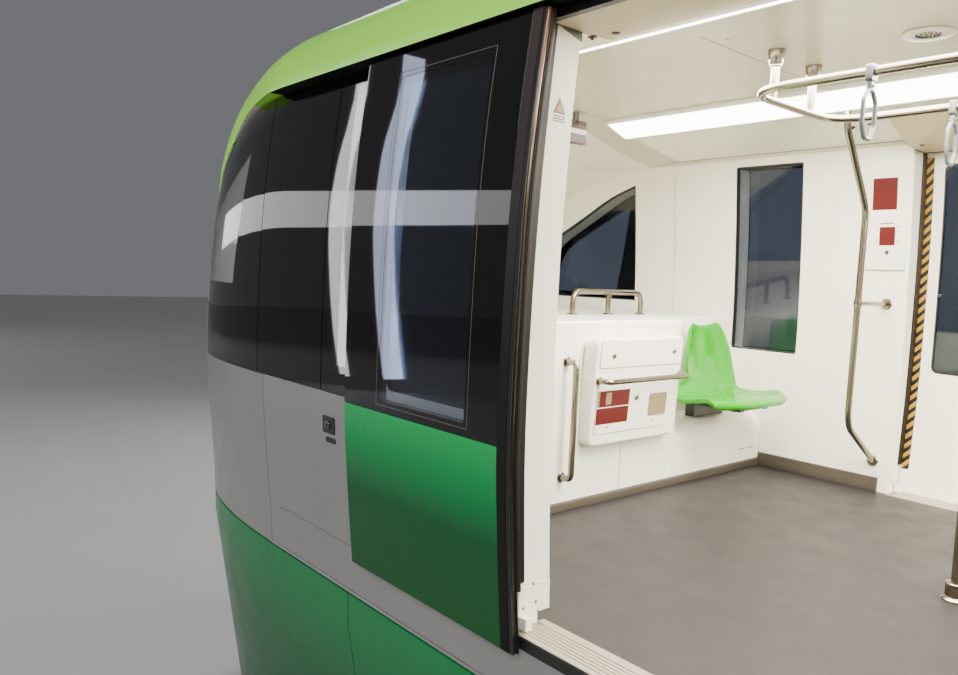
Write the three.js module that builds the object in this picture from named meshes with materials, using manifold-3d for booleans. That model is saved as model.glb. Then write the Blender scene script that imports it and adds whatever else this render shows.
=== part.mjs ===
// End car of a driverless straddle monorail, empty, front left doorway standing open.
// Millimetres. +X points forward to the nose, +Y to the car's left, +Z up.
// The origin is on the top face of the guide beam, midway between the two bogies.

import * as THREE from 'three';
import { mergeVertices } from 'three/addons/utils/BufferGeometryUtils.js';
import Module from 'manifold-3d';

const wasm = await Module();
wasm.setup();

// Length of the car
const NOSE_TIP_X = 6950;
const NOSE_START_X = 4950;
const NOSE_JOINT_X = 5100;
const CHIN_X = 6450;
const END_WALL_X = -6050;
const END_WALL_THICKNESS = 60;
const REAR_X = -6250;

// Heights
const FLOOR_Z = 460;
const FLOOR_UNDERSIDE_Z = 300;
const BODY_BOTTOM_Z = 240;
const SKIRT_BOTTOM_Z = -1113;
const SKIRT_BOTTOM_HALF = 1230;
const WAIST_Z = 1060;
const CANT_Z = 2350;
const CEILING_Z = 2518;
const ROOF_CROWN_Z = 2770;
const NOSE_CENTRE_Z = 700;
const GAP = 0.3;

// Reach of cutting solids past the car on each side, and above it
const WIDE = 2000;
const BEYOND_NOSE_X = NOSE_TIP_X + 150;
const BEYOND_REAR_X = REAR_X - 100;
const ABOVE_ROOF_Z = 3000;

// Side of the car
const DOOR_SETBACK = 50;
const LEAF_THICKNESS = 42;
const GLAZING_THICKNESS = 10;
const WINDSCREEN_THICKNESS = 20;
const NOSE_WALL = 60;
const SKIRT_THICKNESS = 40;
const ROOF_HALF_WIDTH = 1300;

// Outside of a door leaf, [half width, height]
const LEAF_OUTLINE = [
  [1518, 418],
  [1551, 740],
  [1574, WAIST_Z],
  [1568, 1672],
  [1545, 2020],
  [1506, 2344],
];

// Outside of the body, [half width, height], from the skirt up to the roof
const BODY_OUTLINE = [
  [0, SKIRT_BOTTOM_Z],
  [SKIRT_BOTTOM_HALF, SKIRT_BOTTOM_Z],
  [1450, 97],
  [1454.5, BODY_BOTTOM_Z],
  ...LEAF_OUTLINE.map(([y, z]) => [y - DOOR_SETBACK, z]),
  [1290, 2600],
  [0, 2700],
];

// Outside of the cant bands and the roof, [half width, height]
const ROOF_OUTLINE = [
  [0, CANT_Z],
  [1528, CANT_Z],
  [1505, 2450],
  [1440, 2550],
  [1299, 2636],
  [700, 2735],
  [0, ROOF_CROWN_Z],
];

// The same at the nose, where the overhang has run out
const ROOF_NOSE_OUTLINE = [
  [0, CANT_Z],
  [1460, CANT_Z],
  [1458, 2450],
  [1435, 2550],
  [1299, 2636],
  [700, 2735],
  [0, ROOF_CROWN_Z],
];
const OVERHANG_END = 0.31;

// Inside of the cabin, [half width, height], from under the floor up to the ceiling
const CABIN_OUTLINE = [
  [0, 200],
  [1361, 200],
  [1361, FLOOR_Z],
  [1377, 1342],
  [1300, 2312],
  [1290, 2375],
  [930, 2440],
  [640, CEILING_Z],
  [0, CEILING_Z],
];

// Fractions of the nose length at which its sections stand
const NOSE_STATIONS = [0, 0.16, 0.31, 0.45, 0.57, 0.68, 0.77, 0.845, 0.905, 0.95, 0.99];
const CABIN_NOSE_SETBACK = 90;

// Lower edge of the green arch over the quarter window, and edge of the windscreen, [x, z]
const ARCH_LOWER_EDGE = [
  [NOSE_JOINT_X, CANT_Z],
  [5450, 2325],
  [5620, 2255],
  [5780, 2160],
  [5950, 2070],
  [6060, 1900],
  [6115, 1700],
  [6150, WAIST_Z],
];
const WINDSCREEN_EDGE = [
  [6400, WAIST_Z],
  [6370, 1750],
  [6290, 2050],
  [6150, 2300],
  [5950, 2500],
  [5800, 2900],
];

// Left headlamp seen from ahead, [y, z]
const HEADLAMP = [
  [620, 600],
  [1020, 660],
  [1100, 800],
  [1060, 900],
  [660, 820],
  [580, 700],
];
const HEADLAMP_DEPTH = 45;
const HEADLAMP_REGION = [5900, BEYOND_NOSE_X];

// Doorways
const DOORWAY_CENTRES = { front: 2600, rear: -3300 };
const DOORWAY_WIDTH = 1600;
const DOORWAY_TOP_Z = 2326;
const LEAF_LENGTH = 934;
const LEAF_NOSING = 59;
const LEAF_TRAVEL = DOORWAY_WIDTH / 2 - LEAF_NOSING;
const SHUT_CLEARANCE = 2.5;
const LEAF_WINDOW = { fromNosing: 217, length: 481, bottom: 1103, top: 2250, recess: 15 };
const LEAF_PADS = [[424, 454], [2329, 2340]];
const LEAF_PAD_LENGTH = 120;
const LEAF_PAD_INSET = 60;

// Side windows, [from x, to x, bottom z, top z]
const SIDE_WINDOWS = [
  [3998, 4432, 1171, 2305],
  [768, 1202, 1171, 2305],
  [-300, 600, 1171, 2305],
  [-1300, -400, 1171, 2305],
  [-1902, -1468, 1171, 2305],
  [-5132, -4698, 1171, 2305],
];
// Quarter window beside the nose, [x, z]
const QUARTER_WINDOW = [
  [5218, 1430],
  [6080, 1430],
  [6040, 1700],
  [5960, 1830],
  [5830, 1925],
  [5640, 2040],
  [5430, 2160],
  [5218, 2240],
];

// Glazing strips on each side, [name, from x, to x]
const GLAZING_STRIPS = [
  ['rear', -5989, -4100],
  ['mid', -2500, 1800],
  ['front', 3400, 6400],
];

// Bogies
const BOGIE_X = { front: 4850, rear: -4850 };
const LOAD_WHEEL = { radius: 503, inner: 20, outer: 310, hub: 290 };
const AXLE = { radius: 60, half: 400 };
const SIDE_BEAM = { inner: 325, outer: 405 };
const CROSS_BEAM = { near: 620, far: 780, bottom: 120, top: 270 };
const SIDE_PLATE = { inner: 770, outer: 850 };
const SMALL_WHEEL = { radius: 200, half: 60, rim: 140, shaft: 30, shaftHalf: 110 };
const SMALL_WHEEL_Y = 545;
const GUIDE_WHEEL = { x: 850, z: -225 };
const STABILISER_Z = -900;
const LUG = { half: 90, inner: 485, near: 70, far: 110 };
const AIR_SPRING = { radius: 140, y: 640 };
const WHEEL_WELL = { x: 640, y: 500 };
const WELL_COVER = { margin: 40, wall: 20, top: 1120 };
const BEAM_SLOT = { half: 420, top: 60 };

const WHEEL_SIDES = 26;
const SMALL_WHEEL_SIDES = 16;
const BORE_SIDES = 24;

const PAINT = { metalness: 0.1, roughness: 0.35 };

function finish(color, options) {
  return new THREE.MeshStandardMaterial({ color, ...options });
}

const materials = {
  silver: finish(0xc9cdd0, PAINT),
  lime: finish(0xa5de7d, PAINT),
  green: finish(0x21a14d, PAINT),
  white: finish(0xf0eee4, { metalness: 0, roughness: 0.4 }),
  glass: finish(0x15191c, { metalness: 0, roughness: 0.08 }),
  floor: finish(0x6f7380, { metalness: 0, roughness: 0.7 }),
  seat: finish(0x3fc13f, { metalness: 0, roughness: 0.35 }),
  steel: finish(0xb9bbbd, { metalness: 0.9, roughness: 0.3 }),
  bogie: finish(0x3c4045, { metalness: 0.4, roughness: 0.6 }),
  tyre: finish(0x1b1b1c, { metalness: 0, roughness: 0.85 }),
  bellows: finish(0x2b2d30, { metalness: 0, roughness: 0.9 }),
  lamp: finish(0xdfe4e8, { metalness: 0, roughness: 0.1 }),
};

// Solids from geometries

function solid(geometry) {
  const bare = geometry.index ? geometry.clone() : geometry;
  bare.deleteAttribute('normal');
  bare.deleteAttribute('uv');
  const merged = mergeVertices(bare, 1e-3);
  return new wasm.Manifold(new wasm.Mesh({
    numProp: 3,
    vertProperties: new Float32Array(merged.attributes.position.array),
    triVerts: new Uint32Array(merged.index.array),
  }));
}

function meshOf(name, body, material) {
  const { vertProperties, triVerts, numProp } = body.getMesh();
  const positions = new Float32Array((vertProperties.length / numProp) * 3);
  for (let i = 0; i < positions.length / 3; i += 1) {
    positions.set(vertProperties.subarray(i * numProp, i * numProp + 3), i * 3);
  }
  const geometry = new THREE.BufferGeometry();
  geometry.setAttribute('position', new THREE.BufferAttribute(positions, 3));
  geometry.setIndex(new THREE.BufferAttribute(new Uint32Array(triVerts), 1));
  geometry.computeVertexNormals();
  const mesh = new THREE.Mesh(geometry, material);
  mesh.name = name;
  return mesh;
}

function box([x0, x1], [y0, y1], [z0, z1]) {
  const geometry = new THREE.BoxGeometry(x1 - x0, y1 - y0, z1 - z0);
  geometry.translate((x0 + x1) / 2, (y0 + y1) / 2, (z0 + z1) / 2);
  return solid(geometry);
}

function prism(points, from, to) {
  const shape = new THREE.Shape(points.map(([a, b]) => new THREE.Vector2(a, b)));
  const geometry = new THREE.ExtrudeGeometry(shape, { depth: to - from, bevelEnabled: false });
  geometry.translate(0, 0, from);
  return geometry;
}

// Outline in X and Z, extruded along Y
function prismAlongY(points, from, to) {
  const geometry = prism(points, -to, -from);
  geometry.rotateX(Math.PI / 2);
  return solid(geometry);
}

// Outline in Y and Z, extruded along X
function prismAlongX(points, from, to) {
  const geometry = prism(points, from, to);
  geometry.applyMatrix4(new THREE.Matrix4().set(
    0, 0, 1, 0,
    1, 0, 0, 0,
    0, 1, 0, 0,
    0, 0, 0, 1,
  ));
  return solid(geometry);
}

function mirroredY(body) {
  return body.mirror([0, 1, 0]);
}

function joined(bodies) {
  return bodies.reduce((whole, body) => whole.add(body));
}

// Points on an arc about a centre, angles in degrees
function arcPoints(a, b, radius, from, to, steps) {
  return Array.from({ length: steps + 1 }, (_, i) => {
    const angle = THREE.MathUtils.degToRad(from + ((to - from) * i) / steps);
    return [a + radius * Math.cos(angle), b + radius * Math.sin(angle)];
  });
}

// Round bar between two points
function bar(from, to, radius, sides = 8) {
  const start = new THREE.Vector3(...from);
  const end = new THREE.Vector3(...to);
  const geometry = new THREE.CylinderGeometry(radius, radius, start.distanceTo(end), sides);
  const turn = new THREE.Quaternion().setFromUnitVectors(
    new THREE.Vector3(0, 1, 0),
    end.clone().sub(start).normalize(),
  );
  geometry.applyQuaternion(turn);
  geometry.translate(...start.add(end).multiplyScalar(0.5).toArray());
  return solid(geometry);
}

// Round bar through a list of points, with a ball at each bend
function bentBar(points, radius, closed = false) {
  const pieces = [];
  const last = closed ? points.length : points.length - 1;
  for (let i = 0; i < last; i += 1) {
    pieces.push(bar(points[i], points[(i + 1) % points.length], radius));
  }
  const bends = closed ? points : points.slice(1, -1);
  for (const bend of bends) {
    const ball = new THREE.SphereGeometry(radius, 6, 4);
    ball.translate(...bend);
    pieces.push(solid(ball));
  }
  return joined(pieces);
}

// Closed outline from its right half, [half width, height] from bottom to top
function mirroredOutline(half) {
  const left = half.slice(1, -1).reverse().map(([y, z]) => [-y, z]);
  return [...half, ...left];
}

// Body whose section shrinks towards the nose, over its own width and about the nose centre height
function lofted(half, rearX, noseStart, noseTip, noseHalf = half) {
  const outline = mirroredOutline(half);
  const noseOutline = mirroredOutline(noseHalf);
  const span = (noseTip - noseStart) / NOSE_STATIONS.at(-1);
  const stations = [rearX, ...NOSE_STATIONS.map((t) => noseStart + t * span)];
  const geometry = new THREE.CylinderGeometry(1, 1, 1, outline.length, stations.length - 1);
  geometry.deleteAttribute('normal');
  geometry.deleteAttribute('uv');
  const merged = mergeVertices(geometry, 1e-4);
  const position = merged.attributes.position;
  for (let i = 0; i < position.count; i += 1) {
    const row = Math.round((position.getY(i) + 0.5) * (stations.length - 1));
    const x = stations[row];
    const t = Math.max(0, (x - noseStart) / span);
    const wide = (1 - t ** 2.8) ** (1 / 2.6);
    const up = (1 - t ** 1.82) ** 0.5;
    const down = (1 - t ** 8) ** 0.5;
    const radius = Math.hypot(position.getX(i), position.getZ(i));
    const turn = Math.atan2(position.getX(i), position.getZ(i)) / (2 * Math.PI);
    const column = Math.round((turn + 1) * outline.length) % outline.length;
    const middle = (half[0][1] + half.at(-1)[1]) / 2;
    const [fullY, z] = radius < 0.5 ? [0, middle] : outline[column];
    const noseY = radius < 0.5 ? 0 : noseOutline[column][0];
    const y = fullY + (noseY - fullY) * Math.min(1, t / OVERHANG_END);
    const rise = z - NOSE_CENTRE_Z;
    position.setXYZ(i, x, y * wide, NOSE_CENTRE_Z + rise * (rise > 0 ? up : down));
  }
  return solid(merged);
}

// Outside of the body moved inwards all round
function bodyShell(inset) {
  const half = BODY_OUTLINE.map(([y, z]) => [Math.max(0, y - inset), z > 2500 ? z - inset : z]);
  return lofted(half, BEYOND_REAR_X + inset, NOSE_START_X - inset, NOSE_TIP_X - inset);
}

function cabinSpace(margin) {
  const half = CABIN_OUTLINE.map(([y, z]) => [Math.max(0, y - margin), z > 2312 ? z - margin : z]);
  const tip = NOSE_TIP_X - CABIN_NOSE_SETBACK - margin;
  return lofted(half, REAR_X - 200, NOSE_START_X - CABIN_NOSE_SETBACK, tip);
}

const bodyOuter = bodyShell(0);
const roofOuter = lofted(
  ROOF_OUTLINE,
  BEYOND_REAR_X,
  NOSE_START_X,
  NOSE_TIP_X,
  ROOF_NOSE_OUTLINE,
);
const cabin = cabinSpace(0);
const bodyUnderGlazing = bodyShell(GLAZING_THICKNESS + GAP);
const beamSlot = box(
  [BEYOND_REAR_X, BEYOND_NOSE_X],
  [-BEAM_SLOT.half, BEAM_SLOT.half],
  [SKIRT_BOTTOM_Z - 100, BEAM_SLOT.top],
);

function leftHalf(x0, x1, z0, z1) {
  return box([x0, x1], [GAP / 2, WIDE], [z0, z1]);
}

// Side wall as thick as the whole wall, doorways and windows cut through

function sideRegion() {
  const outline = [
    [END_WALL_X + END_WALL_THICKNESS + GAP, BODY_BOTTOM_Z],
    [NOSE_JOINT_X, BODY_BOTTOM_Z],
    [NOSE_JOINT_X, WAIST_Z + GAP],
    ...ARCH_LOWER_EDGE.slice(1).reverse().map(([x, z]) => [x, Math.max(z, WAIST_Z + GAP)]),
    [NOSE_JOINT_X, CANT_Z],
    [END_WALL_X + END_WALL_THICKNESS + GAP, CANT_Z],
  ];
  return prismAlongY(outline, GAP, WIDE);
}

function doorwayCuts() {
  return joined(Object.values(DOORWAY_CENTRES).map((centre) => box(
    [centre - DOORWAY_WIDTH / 2, centre + DOORWAY_WIDTH / 2],
    [1000, WIDE],
    [FLOOR_Z, DOORWAY_TOP_Z],
  )));
}

function windowCuts() {
  const cuts = SIDE_WINDOWS.map(([x0, x1, z0, z1]) => box([x0, x1], [1000, WIDE], [z0, z1]));
  return joined([...cuts, prismAlongY(QUARTER_WINDOW, 600, WIDE)]);
}

function glazingRegion(from, to) {
  const region = leftHalf(from, to, WAIST_Z + GAP, CANT_Z);
  return region.intersect(sideRegion());
}

function leftSideWall() {
  const glazed = joined(GLAZING_STRIPS.map(([, from, to]) => leftHalf(from, to, WAIST_Z, CANT_Z + 10)));
  return bodyOuter
    .subtract(glazed)
    .add(bodyUnderGlazing.intersect(glazed))
    .subtract(cabin)
    .intersect(sideRegion())
    .subtract(doorwayCuts())
    .subtract(windowCuts());
}

function leftGlazing(from, to) {
  const layer = bodyOuter.subtract(bodyShell(GLAZING_THICKNESS));
  return layer.intersect(glazingRegion(from + GAP, to - GAP));
}

// Roof, cant bands, nose

function roof() {
  const region = box(
    [END_WALL_X + END_WALL_THICKNESS + GAP, NOSE_JOINT_X],
    [-ROOF_HALF_WIDTH, ROOF_HALF_WIDTH],
    [CANT_Z + GAP, ROOF_CROWN_Z + 100],
  );
  return roofOuter.subtract(cabin).intersect(region);
}

function leftCantBand() {
  const region = box(
    [END_WALL_X + END_WALL_THICKNESS + GAP, NOSE_JOINT_X],
    [ROOF_HALF_WIDTH + GAP, WIDE],
    [CANT_Z + GAP, ROOF_CROWN_Z],
  );
  return roofOuter.subtract(cabin).intersect(region);
}

function noseArch() {
  const outline = [
    ...ARCH_LOWER_EDGE.map(([x, z]) => [x + GAP, z + GAP]),
    ...WINDSCREEN_EDGE.map(([x, z]) => [x - GAP, z + GAP]),
    [NOSE_JOINT_X + GAP, ABOVE_ROOF_Z],
  ];
  return roofOuter.add(bodyOuter).subtract(cabin).intersect(prismAlongY(outline, -WIDE, WIDE));
}

function windscreen() {
  const outline = [
    ...WINDSCREEN_EDGE.map(([x, z]) => [x + GAP, z + GAP]),
    [BEYOND_NOSE_X, ABOVE_ROOF_Z],
    [BEYOND_NOSE_X, WAIST_Z + GAP],
  ];
  const layer = bodyOuter.subtract(bodyShell(WINDSCREEN_THICKNESS));
  return layer.intersect(prismAlongY(outline, -WIDE, WIDE));
}

// Left headlamp, with each point of its outline moved inwards by a margin
function leftHeadlampPrism(margin) {
  const middle = new THREE.Vector2(
    HEADLAMP.reduce((sum, [y]) => sum + y, 0) / HEADLAMP.length,
    HEADLAMP.reduce((sum, [, z]) => sum + z, 0) / HEADLAMP.length,
  );
  const outline = HEADLAMP.map(([y, z]) => {
    const point = new THREE.Vector2(y, z);
    const inwards = middle.clone().sub(point).setLength(margin);
    return point.add(inwards).toArray();
  });
  return prismAlongX(outline, ...HEADLAMP_REGION);
}

function leftHeadlamp() {
  const layer = bodyOuter.subtract(bodyShell(HEADLAMP_DEPTH));
  return layer.intersect(leftHeadlampPrism(GAP * 1.5));
}

// Opening under the nose, inside its side walls
function noseUnderside() {
  const half = SKIRT_BOTTOM_HALF - NOSE_WALL;
  const outline = [
    [0, SKIRT_BOTTOM_Z - 400],
    [half, SKIRT_BOTTOM_Z - 400],
    [half, SKIRT_BOTTOM_Z + 100],
    [0, SKIRT_BOTTOM_Z + 100],
  ];
  const channel = lofted(outline, NOSE_JOINT_X, NOSE_START_X - NOSE_WALL, NOSE_TIP_X - NOSE_WALL);
  return channel.intersect(box([NOSE_JOINT_X, CHIN_X], [-WIDE, WIDE], [SKIRT_BOTTOM_Z - 400, 0]));
}

function noseShell() {
  const region = box([NOSE_JOINT_X + GAP, BEYOND_NOSE_X], [-WIDE, WIDE], [SKIRT_BOTTOM_Z - 10, WAIST_Z]);
  const headlamp = leftHeadlampPrism(0);
  return bodyOuter
    .subtract(bodyShell(NOSE_WALL))
    .intersect(region)
    .subtract(noseUnderside())
    .subtract(beamSlot)
    .subtract(headlamp)
    .subtract(mirroredY(headlamp));
}

function leftSkirt() {
  const region = box(
    [END_WALL_X, NOSE_JOINT_X],
    [600, WIDE],
    [SKIRT_BOTTOM_Z - 10, BODY_BOTTOM_Z - GAP],
  );
  return bodyOuter.subtract(bodyShell(SKIRT_THICKNESS)).intersect(region);
}

// Floor with a well over each bogie

function floorSlab() {
  const front = NOSE_TIP_X - NOSE_WALL - 200;
  const slab = box([END_WALL_X, front], [-WIDE, WIDE], [FLOOR_UNDERSIDE_Z, FLOOR_Z - GAP]);
  const wells = Object.values(BOGIE_X).map((x) => box(
    [x - WHEEL_WELL.x, x + WHEEL_WELL.x],
    [-WHEEL_WELL.y, WHEEL_WELL.y],
    [0, FLOOR_Z + 10],
  ));
  return cabinSpace(GAP).intersect(slab).subtract(joined(wells));
}

const END_DOORWAY_HALF = 450;

function rearEndWall() {
  const region = box([END_WALL_X, END_WALL_X + END_WALL_THICKNESS], [-WIDE, WIDE], [FLOOR_Z, ABOVE_ROOF_Z]);
  const doorway = box(
    [END_WALL_X - 10, END_WALL_X + END_WALL_THICKNESS + 10],
    [-END_DOORWAY_HALF, END_DOORWAY_HALF],
    [FLOOR_Z - 10, DOORWAY_TOP_Z],
  );
  return bodyOuter.add(roofOuter).intersect(region).subtract(doorway);
}

const BELLOWS = { pleats: 4, half: 720, bottom: 350, top: 2520, fold: 50 };
const PASSAGE = { half: 520, top: 2380 };

// Square ring of the bellows, moved inwards by a fold
function bellowsRing(from, to, fold) {
  const { half, bottom, top } = BELLOWS;
  return box([from, to], [fold - half, half - fold], [bottom + fold, top - fold]);
}

function bellows() {
  const pitch = (END_WALL_X - GAP - REAR_X) / BELLOWS.pleats;
  const rings = [];
  for (let i = 0; i < BELLOWS.pleats; i += 1) {
    const from = REAR_X + i * pitch;
    rings.push(bellowsRing(from, from + pitch / 2, 0));
    rings.push(bellowsRing(from + pitch / 4, from + pitch, BELLOWS.fold));
  }
  const passage = box([BEYOND_REAR_X, END_WALL_X], [-PASSAGE.half, PASSAGE.half], [FLOOR_Z, PASSAGE.top]);
  return joined(rings).subtract(passage);
}

const DRAWBAR = { z: 210, radius: 55, pocketHalf: 160, pocketRear: -6180, pocketFront: -5900 };

function drawbar() {
  const { z, radius, pocketHalf, pocketRear, pocketFront } = DRAWBAR;
  const pocket = box(
    [pocketRear, pocketFront],
    [-pocketHalf, pocketHalf],
    [z - 30, FLOOR_UNDERSIDE_Z - GAP],
  );
  return pocket.add(bar([REAR_X, 0, z], [pocketRear + 80, 0, z], radius, 12));
}

const ROOF_UNITS = { front: [1300, 3500], rear: [-4300, -2100] };
const ROOF_UNIT = { half: 860, topHalf: 780, shoulder: 2840, top: 2930 };

function roofUnit([from, to]) {
  const { half, topHalf, shoulder, top } = ROOF_UNIT;
  const outline = [
    [-half, CEILING_Z], [half, CEILING_Z], [half, shoulder],
    [topHalf, top], [-topHalf, top], [-half, shoulder],
  ];
  const clearRoof = lofted(
    ROOF_OUTLINE.map(([y, z]) => [y, z > CANT_Z ? z + GAP : z]),
    BEYOND_REAR_X,
    NOSE_START_X,
    NOSE_TIP_X,
  );
  return prismAlongX(outline, from, to).subtract(clearRoof);
}

// Inside of the cabin

const CONSOLE = {
  front: 4184, deck: 4460, top: 1362, left: 640, right: -482, humpTop: 1370,
  slopeFrom: 5700, back: 6700, backTop: 1090,
};
const CONSOLE_WALL = 20;
const CONSOLE_BOX = { front: 4100, left: 318, right: -355, bottom: 762, top: 1293 };
const PLINTH = { top: 790, radius: 100 };
const GRAB_BAR = { radius: 14, standoff: 62, z: 1090, left: 302, right: -331 };
const GRAB_HANDLE = { radius: 15, standoff: 62, y: 443, bottom: 627, top: 1185 };

// Bar that stands off a face, from one end to the other
function faceHandle(face, standoff, start, end, radius) {
  const out = face - standoff;
  return bentBar([
    [face + 5, ...start], [out + 30, ...start], [out, ...start.map((v, i) => v + Math.sign(end[i] - v) * 30)],
    [out, ...end.map((v, i) => v + Math.sign(start[i] - v) * 30)], [out + 30, ...end], [face + 5, ...end],
  ], radius);
}

// Low plinth with a quarter-round front edge, [depth, height] from its front
function plinthOutline(front, back) {
  const edge = arcPoints(front + PLINTH.radius, PLINTH.top - PLINTH.radius, PLINTH.radius, 90, 180, 5);
  return [[back, FLOOR_Z], [back, PLINTH.top], ...edge, [front, FLOOR_Z]];
}

function frontConsole() {
  const deckOutline = [
    [CONSOLE.deck, FLOOR_Z], [CONSOLE.deck, CONSOLE.top], [CONSOLE.slopeFrom, CONSOLE.top],
    [CONSOLE.back, CONSOLE.backTop], [CONSOLE.back, FLOOR_Z],
  ];
  const across = prismAlongY(deckOutline, -WIDE, WIDE)
    .add(prismAlongY(plinthOutline(CONSOLE.front, CONSOLE.deck + 5), -WIDE, WIDE));
  const deck = cabinSpace(6).intersect(across);
  const hump = box(
    [CONSOLE.front, CONSOLE.deck + 5],
    [CONSOLE.right, CONSOLE.left],
    [FLOOR_Z, CONSOLE.humpTop],
  );
  const front = box(
    [CONSOLE_BOX.front, CONSOLE.front + 5],
    [CONSOLE_BOX.right, CONSOLE_BOX.left],
    [CONSOLE_BOX.bottom, CONSOLE_BOX.top],
  );
  const spaceZ = [FLOOR_Z - 10, CONSOLE.humpTop - 25];
  const spaceY = [CONSOLE.right + CONSOLE_WALL, CONSOLE.left - 2 * CONSOLE_WALL];
  const overBogie = WHEEL_WELL.y + 5 * CONSOLE_WALL;
  const space = box([CONSOLE.front + CONSOLE_WALL + 1, CONSOLE.deck + 5], spaceY, spaceZ)
    .add(box([CONSOLE.deck, BOGIE_X.front + WHEEL_WELL.x + 70], [-overBogie, overBogie], spaceZ));
  const { radius, standoff, z, left, right } = GRAB_BAR;
  const grabBar = faceHandle(CONSOLE_BOX.front, standoff, [left, z], [right, z], radius);
  const { y, bottom, top } = GRAB_HANDLE;
  const handle = faceHandle(CONSOLE.front, GRAB_HANDLE.standoff, [y, top], [y, bottom], GRAB_HANDLE.radius);
  return joined([deck, hump, front, grabBar, handle]).subtract(space);
}

const HOOP = { x: 4733, inner: 183, outer: 805, top: 1497, radius: 16 };

function leftConsoleHoop() {
  const base = CONSOLE.top + GAP;
  const corner = 45;
  const loop = bentBar([
    [HOOP.x, HOOP.inner, base],
    [HOOP.x, HOOP.inner, HOOP.top - corner],
    [HOOP.x, HOOP.inner + corner, HOOP.top],
    [HOOP.x, HOOP.outer - corner, HOOP.top],
    [HOOP.x, HOOP.outer, HOOP.top - corner],
    [HOOP.x, HOOP.outer, base],
  ], HOOP.radius);
  const middle = (HOOP.inner + HOOP.outer) / 2;
  return loop.add(bar([HOOP.x, middle, base], [HOOP.x, middle, HOOP.top], HOOP.radius));
}

function rearBogieCover() {
  const x = BOGIE_X.rear;
  const halfX = WHEEL_WELL.x + WELL_COVER.margin;
  const halfY = WHEEL_WELL.y + WELL_COVER.margin;
  const outside = box([x - halfX, x + halfX], [-halfY, halfY], [FLOOR_Z, WELL_COVER.top]);
  const space = box(
    [x - halfX + WELL_COVER.wall, x + halfX - WELL_COVER.wall],
    [-halfY + WELL_COVER.wall, halfY - WELL_COVER.wall],
    [FLOOR_Z - 10, WELL_COVER.top - WELL_COVER.wall],
  );
  return outside.subtract(space);
}

// Moulded seat: front face from the tip of the pan to the top of the back, [depth, height over the floor]
const SEAT_PROFILE = [
  [0, 474], [22, 488], [150, 466], [285, 470], [345, 505], [380, 640], [404, 770], [424, 862],
];
const SEAT_THICKNESS = 14;
const SEAT_HALF_WIDTH = { pan: 240, top: 150 };
const SEAT_ARM = { from: 45, to: 402, half: 22, spread: 130, bottom: 404, top: 458 };

// Outline of a sheet from one face of it
function thickened(points, thickness) {
  const back = points.map(([a, b], i) => {
    const [a0, b0] = points[Math.max(i - 1, 0)];
    const [a1, b1] = points[Math.min(i + 1, points.length - 1)];
    const length = Math.hypot(a1 - a0, b1 - b0);
    return [a + ((b1 - b0) * thickness) / length, b - ((a1 - a0) * thickness) / length];
  });
  return [...points, ...back.reverse()];
}

// Seat that faces -X, with the tip of its pan at X 0 and the floor at Z 0
function moldedSeat() {
  const { pan, top } = SEAT_HALF_WIDTH;
  const shell = prismAlongY(thickened(SEAT_PROFILE, SEAT_THICKNESS), -pan, pan);
  const taper = prismAlongX([
    [-pan, 400], [pan, 400], [pan, 590], [pan - 25, 730],
    [top, 880], [-top, 880], [25 - pan, 730], [-pan, 590],
  ], -20, 500);
  const { from, to, half, spread, bottom } = SEAT_ARM;
  const arms = [-spread, spread].map((y) => box([from, to], [y - half, y + half], [bottom, SEAT_ARM.top]));
  const foot = PLINTH.top - FLOOR_Z + GAP;
  const riser = box([to - 60, to], [-spread - half, spread + half], [foot, bottom + 20]);
  return joined([shell.intersect(taper), ...arms, riser]);
}

const CORNER_SEAT_TIP_X = 3944;
const CORNER_SEATS = [
  ['left', 1045],
  ['right', -940],
];

function cornerSeats() {
  return CORNER_SEATS.map(([side, y]) => (
    meshOf(`corner_seat_${side}`, moldedSeat().translate([CORNER_SEAT_TIP_X, y, FLOOR_Z]), materials.seat)
  ));
}

const BENCH = { tip: 905, rear: -1900, seats: 6, pitch: 500, plinthFront: 1060, plinthBack: 1340 };

function leftBench() {
  const front = BENCH.rear + BENCH.seats * BENCH.pitch;
  const plinth = prismAlongX(plinthOutline(BENCH.plinthFront, BENCH.plinthBack), BENCH.rear, front);
  const seat = moldedSeat().rotate([0, 0, 90]);
  const seats = Array.from({ length: BENCH.seats }, (_, i) => (
    seat.translate([BENCH.rear + (i + 0.5) * BENCH.pitch, BENCH.tip, FLOOR_Z - 2 * GAP])
  ));
  return joined([plinth, ...seats]);
}

const RAIL = { z: 2317, y: 355, front: 3395, rear: -4000, corner: 130, radius: 16 };
const RAIL_HANGERS = [3395, 1900, 400, -1100, -2600, -4000];
const FRONT_HANGER_Y = 155;

function overheadRail() {
  const { z, y, front, rear, corner, radius } = RAIL;
  const loop = bentBar([
    [front, -y + corner, z], [front, y - corner, z], [front - corner, y, z],
    [rear + corner, y, z], [rear, y - corner, z], [rear, -y + corner, z],
    [rear + corner, -y, z], [front - corner, -y, z],
  ], radius, true);
  const hangers = [];
  for (const x of RAIL_HANGERS) {
    const onEnd = x === front || x === rear;
    const reach = onEnd ? FRONT_HANGER_Y : y;
    for (const side of [-1, 1]) {
      hangers.push(bar([x, side * reach, z], [x, side * reach, CEILING_Z - GAP], radius));
    }
  }
  return joined([loop, ...hangers]);
}

const GRAB_POLES = { front: [2641, -29], rear: [-3300, 0] };
const GRAB_POLE = { radius: 17, collar: 34, collarHeight: 60, sides: 12 };

function grabPole([x, y]) {
  const { radius, collar, collarHeight, sides } = GRAB_POLE;
  const base = FLOOR_Z + GAP;
  return bar([x, y, base], [x, y, CEILING_Z - GAP], radius, sides)
    .add(bar([x, y, base], [x, y, base + collarHeight], collar, sides));
}

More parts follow.
